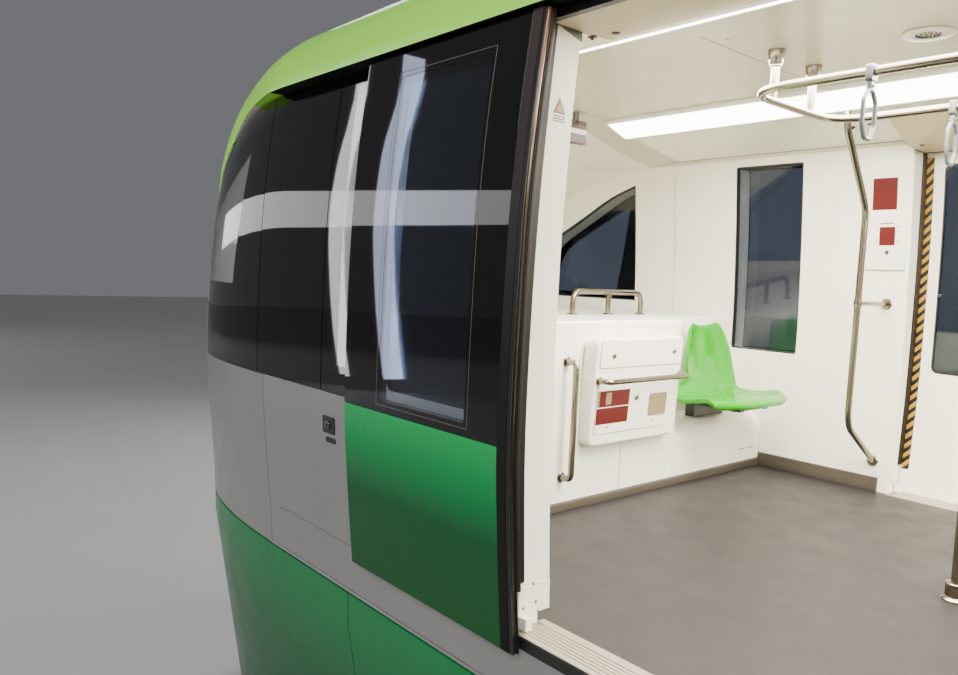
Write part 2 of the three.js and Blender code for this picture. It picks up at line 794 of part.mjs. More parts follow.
// Wall handrail: its bends from the ceiling to the wall, [y, z], and the stub half way
const HANDRAIL = {
  x: 3498, radius: 17, stubZ: 1508,
  bends: [[-722, 2528], [-1022, 1997], [-1018, 926], [-1380, 610]],
};

function rightHandrail() {
  const { x, radius, stubZ, bends } = HANDRAIL;
  const [, , [upright], [wall]] = bends;
  return joined([
    bentBar(bends.map(([y, z]) => [x, y, z]), radius),
    bar([x, upright, stubZ], [x, wall, stubZ], radius),
  ]).intersect(cabinSpace(GAP));
}

// Door leaves: the front left doorway stands open, the others are shut

function outlineHalfWidth(outline, z) {
  const after = outline.findIndex((point) => point[1] >= z);
  const [y0, z0] = outline[after - 1];
  const [y1, z1] = outline[after];
  return y0 + ((y1 - y0) * (z - z0)) / (z1 - z0);
}

// Leaf at the fully open place, with its nosing towards the doorway centre
function leftLeaf(centre, side) {
  const nosing = centre + side * LEAF_TRAVEL;
  const far = nosing + side * LEAF_LENGTH;
  const inside = [...LEAF_OUTLINE].reverse().map(([y, z]) => [y - LEAF_THICKNESS, z]);
  const slab = prismAlongX([...LEAF_OUTLINE, ...inside], Math.min(nosing, far), Math.max(nosing, far));
  const windowStart = nosing + side * LEAF_WINDOW.fromNosing;
  const windowEnd = windowStart + side * LEAF_WINDOW.length;
  const windowX = [Math.min(windowStart, windowEnd), Math.max(windowStart, windowEnd)];
  const recess = [...LEAF_OUTLINE, ...inside].map(([y, z], i) => (
    [y + (i < LEAF_OUTLINE.length ? -LEAF_WINDOW.recess : -200), z]
  ));
  const cut = prismAlongX(recess, ...windowX)
    .intersect(box(windowX, [0, WIDE], [LEAF_WINDOW.bottom, LEAF_WINDOW.top]));
  const pads = [];
  for (const [z0, z1] of LEAF_PADS) {
    const section = [
      [outlineHalfWidth(LEAF_OUTLINE, z0) - DOOR_SETBACK + GAP, z0],
      [outlineHalfWidth(LEAF_OUTLINE, z0) - LEAF_THICKNESS + 5, z0],
      [outlineHalfWidth(LEAF_OUTLINE, z1) - LEAF_THICKNESS + 5, z1],
      [outlineHalfWidth(LEAF_OUTLINE, z1) - DOOR_SETBACK + GAP, z1],
    ];
    for (const start of [nosing + side * LEAF_PAD_INSET, far - side * LEAF_PAD_INSET]) {
      const end = start + (start === far - side * LEAF_PAD_INSET ? -side : side) * LEAF_PAD_LENGTH;
      pads.push(prismAlongX(section, Math.min(start, end), Math.max(start, end)));
    }
  }
  return joined([slab.subtract(cut), ...pads]);
}

const LEAF_STATES = [
  ['front', 'left', 'open'],
  ['front', 'right', 'shut'],
  ['rear', 'left', 'shut'],
  ['rear', 'right', 'shut'],
];

function doorLeaves() {
  const leaves = [];
  for (const [end, side, state] of LEAF_STATES) {
    for (const [place, direction] of [['fore', 1], ['aft', -1]]) {
      const open = leftLeaf(DOORWAY_CENTRES[end], direction);
      const leaf = side === 'left' ? open : mirroredY(open);
      const mesh = meshOf(`door_${end}_${side}_${place}`, leaf, materials.green);
      mesh.position.x = state === 'open' ? 0 : -direction * (LEAF_TRAVEL - SHUT_CLEARANCE);
      leaves.push(mesh);
    }
  }
  return leaves;
}

// Bogie: a saddle frame on one twin-tyred axle, with guide and stabilising wheels on the beam's flanks

function sideBeamOutline() {
  const { near, far, bottom, top } = CROSS_BEAM;
  return [
    [-far, bottom], [far, bottom], [far, top], [near - 20, top + 15], [540, 420], [300, 620],
    [-300, 620], [-540, 420], [20 - near, top + 15], [-far, top],
  ];
}

function sidePlateOutline() {
  return [[-950, -360], [-300, -1020], [300, -1020], [950, -360], [950, 270], [-950, 270]];
}

// Radius of a faceted bore whose flats just clear the shaft
function boreRadius(shaft, sides) {
  return (shaft + GAP) / Math.cos(Math.PI / sides);
}

function lug(x, z) {
  return box([x - LUG.half, x + LUG.half], [LUG.inner, SIDE_PLATE.inner + 5], [z, z + LUG.far - LUG.near]);
}

function wheelLugs(x, z) {
  const radius = boreRadius(SMALL_WHEEL.shaft, BORE_SIDES);
  const bore = bar([x, SMALL_WHEEL_Y, z - 200], [x, SMALL_WHEEL_Y, z + 200], radius, BORE_SIDES);
  return lug(x, z + LUG.near).add(lug(x, z - LUG.far)).subtract(bore);
}

function bogieSide() {
  const lugs = [
    wheelLugs(-GUIDE_WHEEL.x, GUIDE_WHEEL.z),
    wheelLugs(GUIDE_WHEEL.x, GUIDE_WHEEL.z),
    wheelLugs(0, STABILISER_Z),
  ];
  const spring = bar(
    [0, AIR_SPRING.y, CROSS_BEAM.bottom],
    [0, AIR_SPRING.y, FLOOR_UNDERSIDE_Z - GAP],
    AIR_SPRING.radius,
    16,
  );
  const springArm = box([-150, 150], [SIDE_BEAM.inner + 5, SIDE_PLATE.inner + 5], [CROSS_BEAM.bottom, 200]);
  return joined([
    prismAlongY(sideBeamOutline(), SIDE_BEAM.inner, SIDE_BEAM.outer),
    prismAlongY(sidePlateOutline(), SIDE_PLATE.inner, SIDE_PLATE.outer),
    springArm,
    spring,
    ...lugs,
  ]);
}

function bogieFrame() {
  const side = bogieSide();
  const { near, far, bottom, top } = CROSS_BEAM;
  const cross = [[near, far], [-far, -near]].map((x) => (
    box(x, [-SIDE_PLATE.outer, SIDE_PLATE.outer], [bottom, top])
  ));
  const axleBore = bar(
    [0, -SIDE_PLATE.inner, LOAD_WHEEL.radius],
    [0, SIDE_PLATE.inner, LOAD_WHEEL.radius],
    boreRadius(AXLE.radius, BORE_SIDES),
    BORE_SIDES,
  );
  return joined([side, mirroredY(side), ...cross]).subtract(axleBore);
}

// Axle with two tyres, turned about Y
function loadAxle() {
  const { radius, inner, outer, hub } = LOAD_WHEEL;
  const half = [
    [AXLE.radius, AXLE.half],
    [AXLE.radius, outer - 30],
    [hub, outer - 30],
    [hub + 20, outer],
    [radius - 40, outer],
    [radius, outer - 35],
    [radius, inner + 35],
    [radius - 40, inner],
    [hub + 20, inner],
    [AXLE.radius + 40, inner],
  ];
  const other = [...half].reverse().map(([r, y]) => [r, -y]);
  const profile = [[0, AXLE.half], ...half, ...other, [0, -AXLE.half]].reverse();
  const points = profile.map(([r, y]) => new THREE.Vector2(r, y));
  return solid(new THREE.LatheGeometry(points, WHEEL_SIDES));
}

// Guide or stabilising wheel, turned about Z
function smallWheel() {
  const { radius, half, rim, shaft, shaftHalf } = SMALL_WHEEL;
  const upper = [
    [shaft, shaftHalf], [shaft, half - 15], [rim, half - 15],
    [rim, half], [radius - 15, half], [radius, half - 15],
  ];
  const lower = [...upper].reverse().map(([r, z]) => [r, -z]);
  const profile = [[0, shaftHalf], ...upper, ...lower, [0, -shaftHalf]].reverse();
  const points = profile.map(([r, z]) => new THREE.Vector2(r, z));
  const geometry = new THREE.LatheGeometry(points, SMALL_WHEEL_SIDES);
  geometry.rotateX(Math.PI / 2);
  return solid(geometry);
}

const SMALL_WHEEL_PLACES = [
  ['guide_wheel', 'fore_left', GUIDE_WHEEL.x, 1, GUIDE_WHEEL.z],
  ['guide_wheel', 'fore_right', GUIDE_WHEEL.x, -1, GUIDE_WHEEL.z],
  ['guide_wheel', 'aft_left', -GUIDE_WHEEL.x, 1, GUIDE_WHEEL.z],
  ['guide_wheel', 'aft_right', -GUIDE_WHEEL.x, -1, GUIDE_WHEEL.z],
  ['stabiliser_wheel', 'left', 0, 1, STABILISER_Z],
  ['stabiliser_wheel', 'right', 0, -1, STABILISER_Z],
];

function bogie(end) {
  const group = new THREE.Group();
  group.position.x = BOGIE_X[end];
  group.add(meshOf(`bogie_frame_${end}`, bogieFrame(), materials.bogie));
  const axle = meshOf(`load_axle_${end}`, loadAxle(), materials.tyre);
  axle.position.z = LOAD_WHEEL.radius;
  group.add(axle);
  for (const [kind, place, x, side, z] of SMALL_WHEEL_PLACES) {
    const wheel = meshOf(`${kind}_${end}_${place}`, smallWheel(), materials.tyre);
    wheel.position.set(x, side * SMALL_WHEEL_Y, z);
    group.add(wheel);
  }
  return group;
}

// The whole car

function pair(name, leftBody, material) {
  return [
    meshOf(`${name}_left`, leftBody, material),
    meshOf(`${name}_right`, mirroredY(leftBody), material),
  ];
}

const car = new THREE.Group();
car.add(
  meshOf('floor', floorSlab(), materials.floor),
  ...pair('side_wall', leftSideWall(), materials.silver),
  ...GLAZING_STRIPS.flatMap(([name, from, to]) => (
    pair(`glazing_${name}`, leftGlazing(from, to), materials.glass)
  )),
  ...pair('cant_band', leftCantBand(), materials.lime),
  meshOf('roof', roof(), materials.silver),
  meshOf('nose_arch', noseArch(), materials.lime),
  meshOf('nose_shell', noseShell(), materials.silver),
  ...pair('headlamp', leftHeadlamp(), materials.lamp),
  meshOf('windscreen', windscreen(), materials.glass),
  ...pair('skirt', leftSkirt(), materials.green),
  meshOf('rear_end_wall', rearEndWall(), materials.silver),
  meshOf('gangway_bellows', bellows(), materials.bellows),
  meshOf('drawbar', drawbar(), materials.bogie),
  meshOf('roof_unit_front', roofUnit(ROOF_UNITS.front), materials.silver),
  meshOf('roof_unit_rear', roofUnit(ROOF_UNITS.rear), materials.silver),
  meshOf('front_console', frontConsole(), materials.white),
  ...pair('console_hoop', leftConsoleHoop(), materials.steel),
  meshOf('rear_bogie_cover', rearBogieCover(), materials.white),
  ...cornerSeats(),
  ...pair('bench', leftBench(), materials.seat),
  meshOf('overhead_rail', overheadRail(), materials.steel),
  meshOf('grab_pole_front', grabPole(GRAB_POLES.front), materials.steel),
  meshOf('grab_pole_rear', grabPole(GRAB_POLES.rear), materials.steel),
  meshOf('handrail_right', rightHandrail(), materials.steel),
  ...doorLeaves(),
  bogie('front'),
  bogie('rear'),
);

export default car;
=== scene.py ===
import math
import bpy
import bmesh
from mathutils import Matrix, Vector


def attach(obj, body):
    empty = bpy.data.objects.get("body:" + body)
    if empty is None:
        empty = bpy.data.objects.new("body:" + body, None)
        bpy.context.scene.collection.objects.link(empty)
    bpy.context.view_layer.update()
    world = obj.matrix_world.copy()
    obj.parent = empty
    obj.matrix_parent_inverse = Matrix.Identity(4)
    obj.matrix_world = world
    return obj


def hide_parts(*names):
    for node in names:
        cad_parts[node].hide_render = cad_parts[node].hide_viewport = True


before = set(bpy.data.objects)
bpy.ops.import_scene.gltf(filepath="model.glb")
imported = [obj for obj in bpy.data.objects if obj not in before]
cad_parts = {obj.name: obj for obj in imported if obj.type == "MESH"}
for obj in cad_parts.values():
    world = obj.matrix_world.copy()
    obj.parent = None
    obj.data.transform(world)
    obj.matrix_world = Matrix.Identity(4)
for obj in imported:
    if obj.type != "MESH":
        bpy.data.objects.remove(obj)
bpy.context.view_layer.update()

ROOT = "car_body"
SIDES = {"left": 1, "right": -1}

# Heights and lengths of the car, in metres, as in the CAD frame
FLOOR_Z = 0.46
WAIST_Z = 1.06
CANT_Z = 2.35
CEILING_Z = 2.518
ROOF_CROWN_Z = 2.77
BODY_BOTTOM_Z = 0.24
SKIRT_FOLD_Z = 0.097
SKIRT_BOTTOM_Z = -1.113
NOSE_CENTRE_Z = 0.7
NOSE_TIP_X = 6.95
NOSE_START_X = 4.95
NOSE_JOINT_X = 5.1
NOSE_LAST = 0.99
REAR_X = -6.25
END_WALL_X = -6.05
INSIDE_REAR_X = -5.99
DOORWAYS = {"front": 2.6, "rear": -3.3}
DOORWAY_HALF = 0.8
DOORWAY_TOP_Z = 2.326
LEAF_TRAVEL = 0.741
LEAF_LENGTH = 0.934
LEAF_THICKNESS = 0.042
DOOR_SETBACK = 0.05
SHUT_CLEARANCE = 0.0025
PANEL_GAP = 0.004
BOGIES = {"front": 4.85, "rear": -4.85}

# Outside of a door leaf, (height, half width)
LEAF_ROWS = [(0.418, 1.518), (0.74, 1.551), (1.06, 1.574), (1.672, 1.568), (2.02, 1.545), (2.344, 1.506)]
# Lining of the cabin wall, (height, half width)
LINING_ROWS = [(0.46, 1.361), (0.9, 1.374), (1.342, 1.377), (1.85, 1.347), (2.312, 1.300)]
# Edges of the green arch, (x, height)
ARCH_LOWER_EDGE = [
    (5.1, 2.35), (5.45, 2.325), (5.62, 2.255), (5.78, 2.16), (5.95, 2.07), (6.06, 1.9), (6.115, 1.7),
    (6.15, 1.06),
]
WINDSCREEN_EDGE = [(6.4, 1.06), (6.37, 1.75), (6.29, 2.05), (6.15, 2.3), (5.95, 2.5), (5.8, 2.9)]
QUARTER_WINDOW = [
    (5.218, 1.43), (6.08, 1.43), (6.04, 1.7), (5.96, 1.83), (5.83, 1.925), (5.64, 2.04), (5.43, 2.16),
    (5.218, 2.24),
]
# Part of the quarter window's outer glass that is not printed black
QUARTER_WINDOW_CLEAR = [
    (5.50, 1.47), (6.03, 1.47), (5.99, 1.69), (5.92, 1.80), (5.79, 1.89), (5.62, 1.99), (5.40, 2.10),
    (5.385, 2.10),
]
# Outline of a headlamp, (half width, height)
HEADLAMP = [(0.62, 0.60), (1.02, 0.66), (1.10, 0.80), (1.06, 0.90), (0.66, 0.82), (0.58, 0.70)]
# Overhang of the roof beyond this half width: the share of it that runs out at the nose, and where that ends
OVERHANG_FROM_Y = 1.4
OVERHANG_LOSS = 0.54
OVERHANG_END = 0.31
# Side windows, (from x, to x), and their shared height
WINDOW_SPANS = [(3.998, 4.432), (0.768, 1.202), (-0.3, 0.6), (-1.3, -0.4), (-1.902, -1.468), (-5.132, -4.698)]
WINDOW_LOW_Z = 1.171
WINDOW_HIGH_Z = 2.305
GLAZING_STRIPS = {"rear": (-5.989, -4.1), "mid": (-2.5, 1.8), "front": (3.4, 6.4)}
GLAZING_JOINTS = {"rear": [-5.25, -4.62], "mid": [-2.05, -1.36, 0.66, 1.26], "front": [4.55, 5.16]}
# Roof units, (from x, to x), and how far a fan's middle is from the end
ROOF_UNITS = {"front": (1.3, 3.5), "rear": (-4.3, -2.1)}
FAN_INSET = 0.42


# Curves and outlines

def interpolated(rows, at):
    """Smooth curve through a table of (position, value)."""
    xs = [r[0] for r in rows]
    ys = [r[1] for r in rows]
    i = min(max(sum(at > x for x in xs) - 1, 0), len(xs) - 2)

    def slope(k):
        a, b = max(k - 1, 0), min(k + 1, len(xs) - 1)
        return (ys[b] - ys[a]) / (xs[b] - xs[a])

    h = xs[i + 1] - xs[i]
    t = (at - xs[i]) / h
    if t < 0 or t > 1:
        edge = i if t < 0 else i + 1
        return ys[edge] + slope(edge) * (at - xs[edge])
    return (
        (2 * t**3 - 3 * t**2 + 1) * ys[i] + (t**3 - 2 * t**2 + t) * h * slope(i)
        + (3 * t**2 - 2 * t**3) * ys[i + 1] + (t**3 - t**2) * h * slope(i + 1)
    )


def leaf_half_width(z):
    return interpolated(LEAF_ROWS, z)


def wall_half_width(z):
    return leaf_half_width(z) - DOOR_SETBACK


def lining_half_width(z):
    return interpolated(LINING_ROWS, z)


def even(low, high, count):
    return [low + (high - low) * i / (count - 1) for i in range(count)]


def body_outline(inset=0.0):
    """Half outline of the body outside, (half width, height), from the skirt to the roof."""
    rows = [(1.23, SKIRT_BOTTOM_Z), (1.45, SKIRT_FOLD_Z), (1.456, BODY_BOTTOM_Z)]
    rows += [(wall_half_width(z), z) for z in even(0.418, CANT_Z, 18)]
    rows += [(1.29, 2.6 - inset)]
    rows = [(y - inset, z) for y, z in rows]
    return [(0, SKIRT_BOTTOM_Z), *rows, (0, 2.7 - inset)]


def roof_outline(inset=0.0):
    """Half outline of the cant bands and roof, (half width, height)."""
    lip = [(1.528, CANT_Z), (1.53, CANT_Z + 0.012), (1.529, CANT_Z + 0.03)]
    cant = [(1.523, 2.41), (1.505, 2.456), (1.478, 2.506), (1.44, 2.552), (1.38, 2.6), (1.299, 2.637)]
    crown = [(1.2, 2.66), (0.95, 2.702), (0.7, 2.735), (0.45, 2.755), (0.2, 2.768)]
    rows = [(max(y - inset, 0), z - inset if z > 2.4 else z) for y, z in lip + cant + crown]
    return [(0, CANT_Z), *rows, (0, ROOF_CROWN_Z - inset)]


def cabin_outline(margin=0.0):
    """Half outline of the cabin inside, (half width, height)."""
    rows = [(1.361, 0.2), (1.361, FLOOR_Z)]
    rows += [(lining_half_width(z), z) for z in even(0.52, 2.312, 12)]
    rows += [(1.297, 2.35), (1.290, 2.372), (1.282, 2.3765), (0.93, 2.44), (0.64, CEILING_Z)]
    return [(0, 0.2), *[(y - margin, z) for y, z in rows], (0, CEILING_Z)]


def nose_scale(t):
    """Width, upper height and lower height of a nose section, t being its place along the nose."""
    return (1 - t**2.8) ** (1 / 2.6), (1 - t**1.82) ** 0.5, (1 - t**8) ** 0.5


# Meshes

def new_object(name, mesh):
    obj = bpy.data.objects.new(name, mesh)
    bpy.context.scene.collection.objects.link(obj)
    return obj


def from_faces(name, points, faces):
    mesh = bpy.data.meshes.new(name)
    mesh.from_pydata([tuple(p) for p in points], [], faces)
    bm = bmesh.new()
    bm.from_mesh(mesh)
    bmesh.ops.recalc_face_normals(bm, faces=bm.faces)
    bm.to_mesh(mesh)
    bm.free()
    return new_object(name, mesh)


def swept(name, rings, closed_path=False):
    """Closed surface over rings of points."""
    count = len(rings[0])
    points = [p for ring in rings for p in ring]
    faces = []
    steps = len(rings) if closed_path else len(rings) - 1
    for i in range(steps):
        a, b = i * count, ((i + 1) % len(rings)) * count
        for j in range(count):
            k = (j + 1) % count
            faces.append((a + j, a + k, b + k, b + j))
    if not closed_path:
        faces.append(tuple(range(count)))
        faces.append(tuple(range(len(points) - count, len(points))))
    return from_faces(name, points, faces)


def loft(name, half, rear, start, tip, overhang_loss=0.0):
    """Body with a constant section up to start, and sections shrinking to the nose tip."""
    ring = list(half) + [(-y, z) for y, z in reversed(half[1:-1])]
    span = (tip - start) / NOSE_LAST
    rings = []
    for x in [rear] + [start + span * t for t in even(0, 0.9, 19) + even(0.925, NOSE_LAST, 5)]:
        t = max(0, (x - start) / span)
        wide, up, down = nose_scale(t)
        run_out = min(1, t / OVERHANG_END)
        loss = overhang_loss * run_out**2 * (3 - 2 * run_out)
        rings.append([
            (
                x,
                math.copysign(abs(y) - max(0, abs(y) - OVERHANG_FROM_Y) * loss, y) * wide,
                NOSE_CENTRE_Z + (z - NOSE_CENTRE_Z) * (up if z > NOSE_CENTRE_Z else down),
            )
            for y, z in ring
        ])
    return swept(name, rings)


def body_solid(name, inset=0.0):
    return loft(name, body_outline(inset), REAR_X - 0.1 + inset, NOSE_START_X - inset, NOSE_TIP_X - inset)


def roof_solid(name, inset=0.0):
    rear, start, tip = REAR_X - 0.1 + inset, NOSE_START_X - inset, NOSE_TIP_X - inset
    return loft(name, roof_outline(inset), rear, start, tip, OVERHANG_LOSS)


def cabin_solid(name, margin=0.0):
    return loft(name, cabin_outline(margin), REAR_X - 0.2, NOSE_START_X - 0.09, NOSE_TIP_X - 0.09 - margin)


def prism(name, outline, axis, low, high):
    """Outline extruded along an axis: (y, z) along x, (x, z) along y, (x, y) along z."""
    def place(a, b, c):
        return {"x": (c, a, b), "y": (a, c, b), "z": (a, b, c)}[axis]
    return swept(name, [[place(a, b, c) for a, b in outline] for c in (low, high)])


def block(name, low, high):
    (x0, y0, z0), (x1, y1, z1) = low, high
    return prism(name, [(x0, y0), (x1, y0), (x1, y1), (x0, y1)], "z", z0, z1)


def around(count):
    """Equal steps of a full turn, as angles."""
    return [2 * math.pi * k / count for k in range(count)]


def arc(centre, radius, start, end, steps):
    return [
        (centre[0] + radius * math.cos(math.radians(a)), centre[1] + radius * math.sin(math.radians(a)))
        for a in even(start, end, steps + 1)
    ]


def rounded(a0, a1, b0, b1, radius, steps=6):
    """Rounded rectangle outline."""
    return (
        arc((a1 - radius, b0 + radius), radius, -90, 0, steps)
        + arc((a1 - radius, b1 - radius), radius, 0, 90, steps)
        + arc((a0 + radius, b1 - radius), radius, 90, 180, steps)
        + arc((a0 + radius, b0 + radius), radius, 180, 270, steps)
    )


def eased(points, radius, steps=6, closed=False):
    """Path with its corners rounded."""
    points = [Vector(p) for p in points]
    path = []
    for i, corner in enumerate(points):
        if not closed and i in (0, len(points) - 1):
            path.append(corner)
            continue
        before = points[i - 1] - corner
        after = points[(i + 1) % len(points)] - corner
        reach = min(radius, before.length * 0.49, after.length * 0.49)
        a = corner + before.normalized() * reach
        b = corner + after.normalized() * reach
        for t in even(0, 1, steps + 1):
            path.append(a * (1 - t) ** 2 + corner * 2 * t * (1 - t) + b * t**2)
    return path


def curved(points, steps=4):
    """Smooth curve through points of an outline."""
    path = []
    last = len(points) - 1
    for i in range(last):
        before, a, b, after = (Vector(points[min(max(k, 0), last)]) for k in (i - 1, i, i + 1, i + 2))
        for t in even(0, 1, steps + 1)[:-1]:
            path.append(tuple(0.5 * (
                2 * a + (b - before) * t + (2 * before - 5 * a + 4 * b - after) * t**2
                + (3 * a - before - 3 * b + after) * t**3
            )))
    return path + [tuple(points[last])]


def rim_curved(outline):
    """Window outline with a straight first side and a smooth curve through its other corners."""
    return [outline[0], *curved(outline[1:])]


def tube(name, points, radius, bend=0.05, sides=14, closed=False):
    path = eased(points, bend, closed=closed)
    if closed:
        tangents = [(path[(i + 1) % len(path)] - path[i - 1]).normalized() for i in range(len(path))]
    else:
        last = len(path) - 1
        tangents = [(path[min(i + 1, last)] - path[max(i - 1, 0)]).normalized() for i in range(len(path))]
    side = tangents[0].orthogonal().normalized()
    rings = []
    for point, tangent in zip(path, tangents):
        side = (side - tangent * side.dot(tangent)).normalized()
        other = tangent.cross(side)
        rings.append([
            point + (side * math.cos(a) + other * math.sin(a)) * radius
            for a in even(0, 2 * math.pi * (sides - 1) / sides, sides)
        ])
    return swept(name, rings, closed_path=closed)


def lathe(name, profile, centre, axis="z", sides=32):
    """Profile of (radius, height) turned about an axis through centre."""
    points, faces = [], []
    rings = []
    for radius, height in profile:
        if radius < 1e-6:
            rings.append([len(points)])
            points.append((0, 0, height))
        else:
            rings.append(list(range(len(points), len(points) + sides)))
            points += [(radius * math.cos(a), radius * math.sin(a), height) for a in around(sides)]
    for a, b in zip(rings, rings[1:]):
        for k in range(sides):
            n = (k + 1) % sides
            face = (a[k % len(a)], a[n % len(a)], b[n % len(b)], b[k % len(b)])
            faces.append(tuple(dict.fromkeys(face)))
    quarter_turn = math.pi / 2
    turns = {
        "x": Matrix.Rotation(quarter_turn, 4, "Y"),
        "y": Matrix.Rotation(-quarter_turn, 4, "X"),
        "z": Matrix(),
    }
    points = [turns[axis] @ Vector(p) + Vector(centre) for p in points]
    return from_faces(name, points, faces)


def joined(name, objects):
    """One object from several, keeping their materials."""
    mesh = bpy.data.meshes.new(name)
    bm = bmesh.new()
    slots = []
    for obj in objects:
        own = [s.material for s in obj.material_slots] or [None]
        start = len(bm.faces)
        bm.from_mesh(obj.data)
        bm.faces.ensure_lookup_table()
        for face in bm.faces[start:]:
            wanted = own[min(face.material_index, len(own) - 1)]
            if wanted not in slots:
                slots.append(wanted)
            face.material_index = slots.index(wanted)
    bm.to_mesh(mesh)
    bm.free()
    for material in slots:
        mesh.materials.append(material)
    for obj in objects:
        bpy.data.objects.remove(obj)
    return new_object(name, mesh)


def combine(target, other, operation, keep):
    """Boolean of two solids, result in target."""
    modifier = target.modifiers.new("cut", "BOOLEAN")
    modifier.object = other
    modifier.operation = operation
    modifier.solver = "MANIFOLD"
    graph = bpy.context.evaluated_depsgraph_get()
    mesh = bpy.data.meshes.new_from_object(target.evaluated_get(graph))
    target.modifiers.clear()
    target.data = mesh
    if not keep:
        bpy.data.objects.remove(other)
    return target


def cut(target, other, keep=False):
    return combine(target, other, "DIFFERENCE", keep)


def within(target, other, keep=False):
    return combine(target, other, "INTERSECT", keep)


def merged(target, other, keep=False):
    return combine(target, other, "UNION", keep)


def copied(name, source):
    return new_object(name, source.data.copy())


def flipped(obj, axis=(0, 1, 0)):
    """The same part on the car's other side, or mirrored along another axis."""
    obj.data.transform(Matrix.Scale(-1, 4, axis))
    obj.data.flip_normals()
    return obj


def facing_cabin(obj):
    """Turns a part made along +X to face the cabin."""
    return flipped(obj, (1, 0, 0))


def mirrored(obj, name):
    """Copy on the car's other side."""
    return flipped(copied(name, obj))


def moved(obj, offset):
    obj.data.transform(Matrix.Translation(offset))
    return obj


def hung(obj, place=(0, 0, 0)):
    """Turns the faces of a part made downwards, and moves it."""
    obj.data.flip_normals()
    return moved(obj, place)


def paint(obj, material, test=None):
    """Gives a material to the faces whose centre and normal pass the test, or to all."""
    slots = obj.data.materials
    if len(slots) == 1 and slots[0] is None:
        slots.clear()
    if material.name not in slots:
        slots.append(material)
    index = slots.find(material.name)
    for face in obj.data.polygons:
        if test is None or test(face.center, face.normal):
            face.material_index = index
    return obj


TOOLS = {}


def tool(kind, inset=0.0):
    """Large solid kept for cutting: the body, the roof or the cabin, moved inwards by an inset."""
    key = f"tool_{kind}_{inset}"
    if key not in TOOLS:
        maker = {"body": body_solid, "roof": roof_solid, "cabin": cabin_solid}[kind]
        TOOLS[key] = maker(key, inset)
    return TOOLS[key]


def layer(name, kind, outer, inner, outline, side=1, axis="y", reach=(0.3, 2.0)):
    """Patch of a surface between two insets, inside an outline seen along an axis."""
    patch = copied(name, tool(kind, outer))
    cut(patch, tool(kind, inner), keep=True)
    low, high = sorted((side * reach[0], side * reach[1])) if axis == "y" else reach
    return within(patch, prism("outline", outline, axis, low, high))


def ribbon(name, section, half_width, low, high, rows):
    """Strip with a closed (x, outwards) section that follows the side of the car from low to high."""
    return swept(name, [[(x, half_width(z) + out, z) for x, out in section] for z in even(low, high, rows)])


def framed(name, kind, outer, inner, outline, hole, side=1):
    """Ring between an outline and a hole in a patch of a surface."""
    ring = layer(name, kind, outer, inner, outline, side)
    return cut(ring, prism("hole", hole, "y", -2.1, 2.1))


def dot(name, centre, radius, height, axis, material, sides=20):
    """Small round head with a rounded edge."""
    profile = [(0, 0), (radius, 0), (radius, height * 0.6), (radius * 0.8, height), (0, height)]
    return paint(lathe(name, profile, centre, axis, sides), material)


def slab(name, low, high, radius, axis, material, steps=5):
    """Box with rounded corners seen along an axis."""
    (x0, y0, z0), (x1, y1, z1) = low, high
    spans = {"x": (y0, y1, z0, z1), "y": (x0, x1, z0, z1), "z": (x0, x1, y0, y1)}[axis]
    depth = {"x": (x0, x1), "y": (y0, y1), "z": (z0, z1)}[axis]
    return paint(prism(name, rounded(*spans, radius, steps), axis, *depth), material)


def placed(obj, body=ROOT, replaces=(), smooth=35, bevel=0.0, segments=2):
    """Finishes a piece: smooth faces, bevelled edges, its body and the nodes that it stands for."""
    obj.data.shade_smooth()
    obj.data.set_sharp_from_angle(angle=math.radians(smooth))
    if bevel:
        modifier = obj.modifiers.new("edge", "BEVEL")
        modifier.width = bevel
        modifier.segments = segments
        modifier.limit_method = "ANGLE"
        modifier.angle_limit = math.radians(40)
        modifier.harden_normals = True
    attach(obj, body)
    if replaces:
        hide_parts(*replaces)
    return obj


def placed_pair(left, node, smooth):
    """Places a left-hand piece and its mirror image, each for its own node where one is named."""
    right = mirrored(left, left.name.replace("left", "right"))
    for side, obj in (("left", left), ("right", right)):
        placed(obj, replaces=[f"{node}_{side}"] if node else [], smooth=smooth)


# Materials

def nodes_of(name):
    material = bpy.data.materials.new(name)
    material.use_nodes = True
    return material, material.node_tree.nodes, material.node_tree.links


def add_noise(nodes, links, scale, detail=3.0, stretch=(1, 1, 1)):
    coordinates = nodes.new("ShaderNodeTexCoord")
    mapping = nodes.new("ShaderNodeMapping")
    mapping.inputs["Scale"].default_value = stretch
    noise = nodes.new("ShaderNodeTexNoise")
    noise.inputs["Scale"].default_value = scale
    noise.inputs["Detail"].default_value = detail
    links.new(coordinates.outputs["Object"], mapping.inputs["Vector"])
    links.new(mapping.outputs["Vector"], noise.inputs["Vector"])
    return noise


def ramp_of(nodes, links, source, stops):
    ramp = nodes.new("ShaderNodeValToRGB")
    elements = ramp.color_ramp.elements
    while len(elements) < len(stops):
        elements.new(0.5)
    for element, (position, colour) in zip(elements, stops):
        element.position = position
        element.color = (*colour, 1)
    links.new(source, ramp.inputs["Fac"])
    return ramp


def shade(colour, factor):
    return tuple(min(1.0, c * factor) for c in colour)


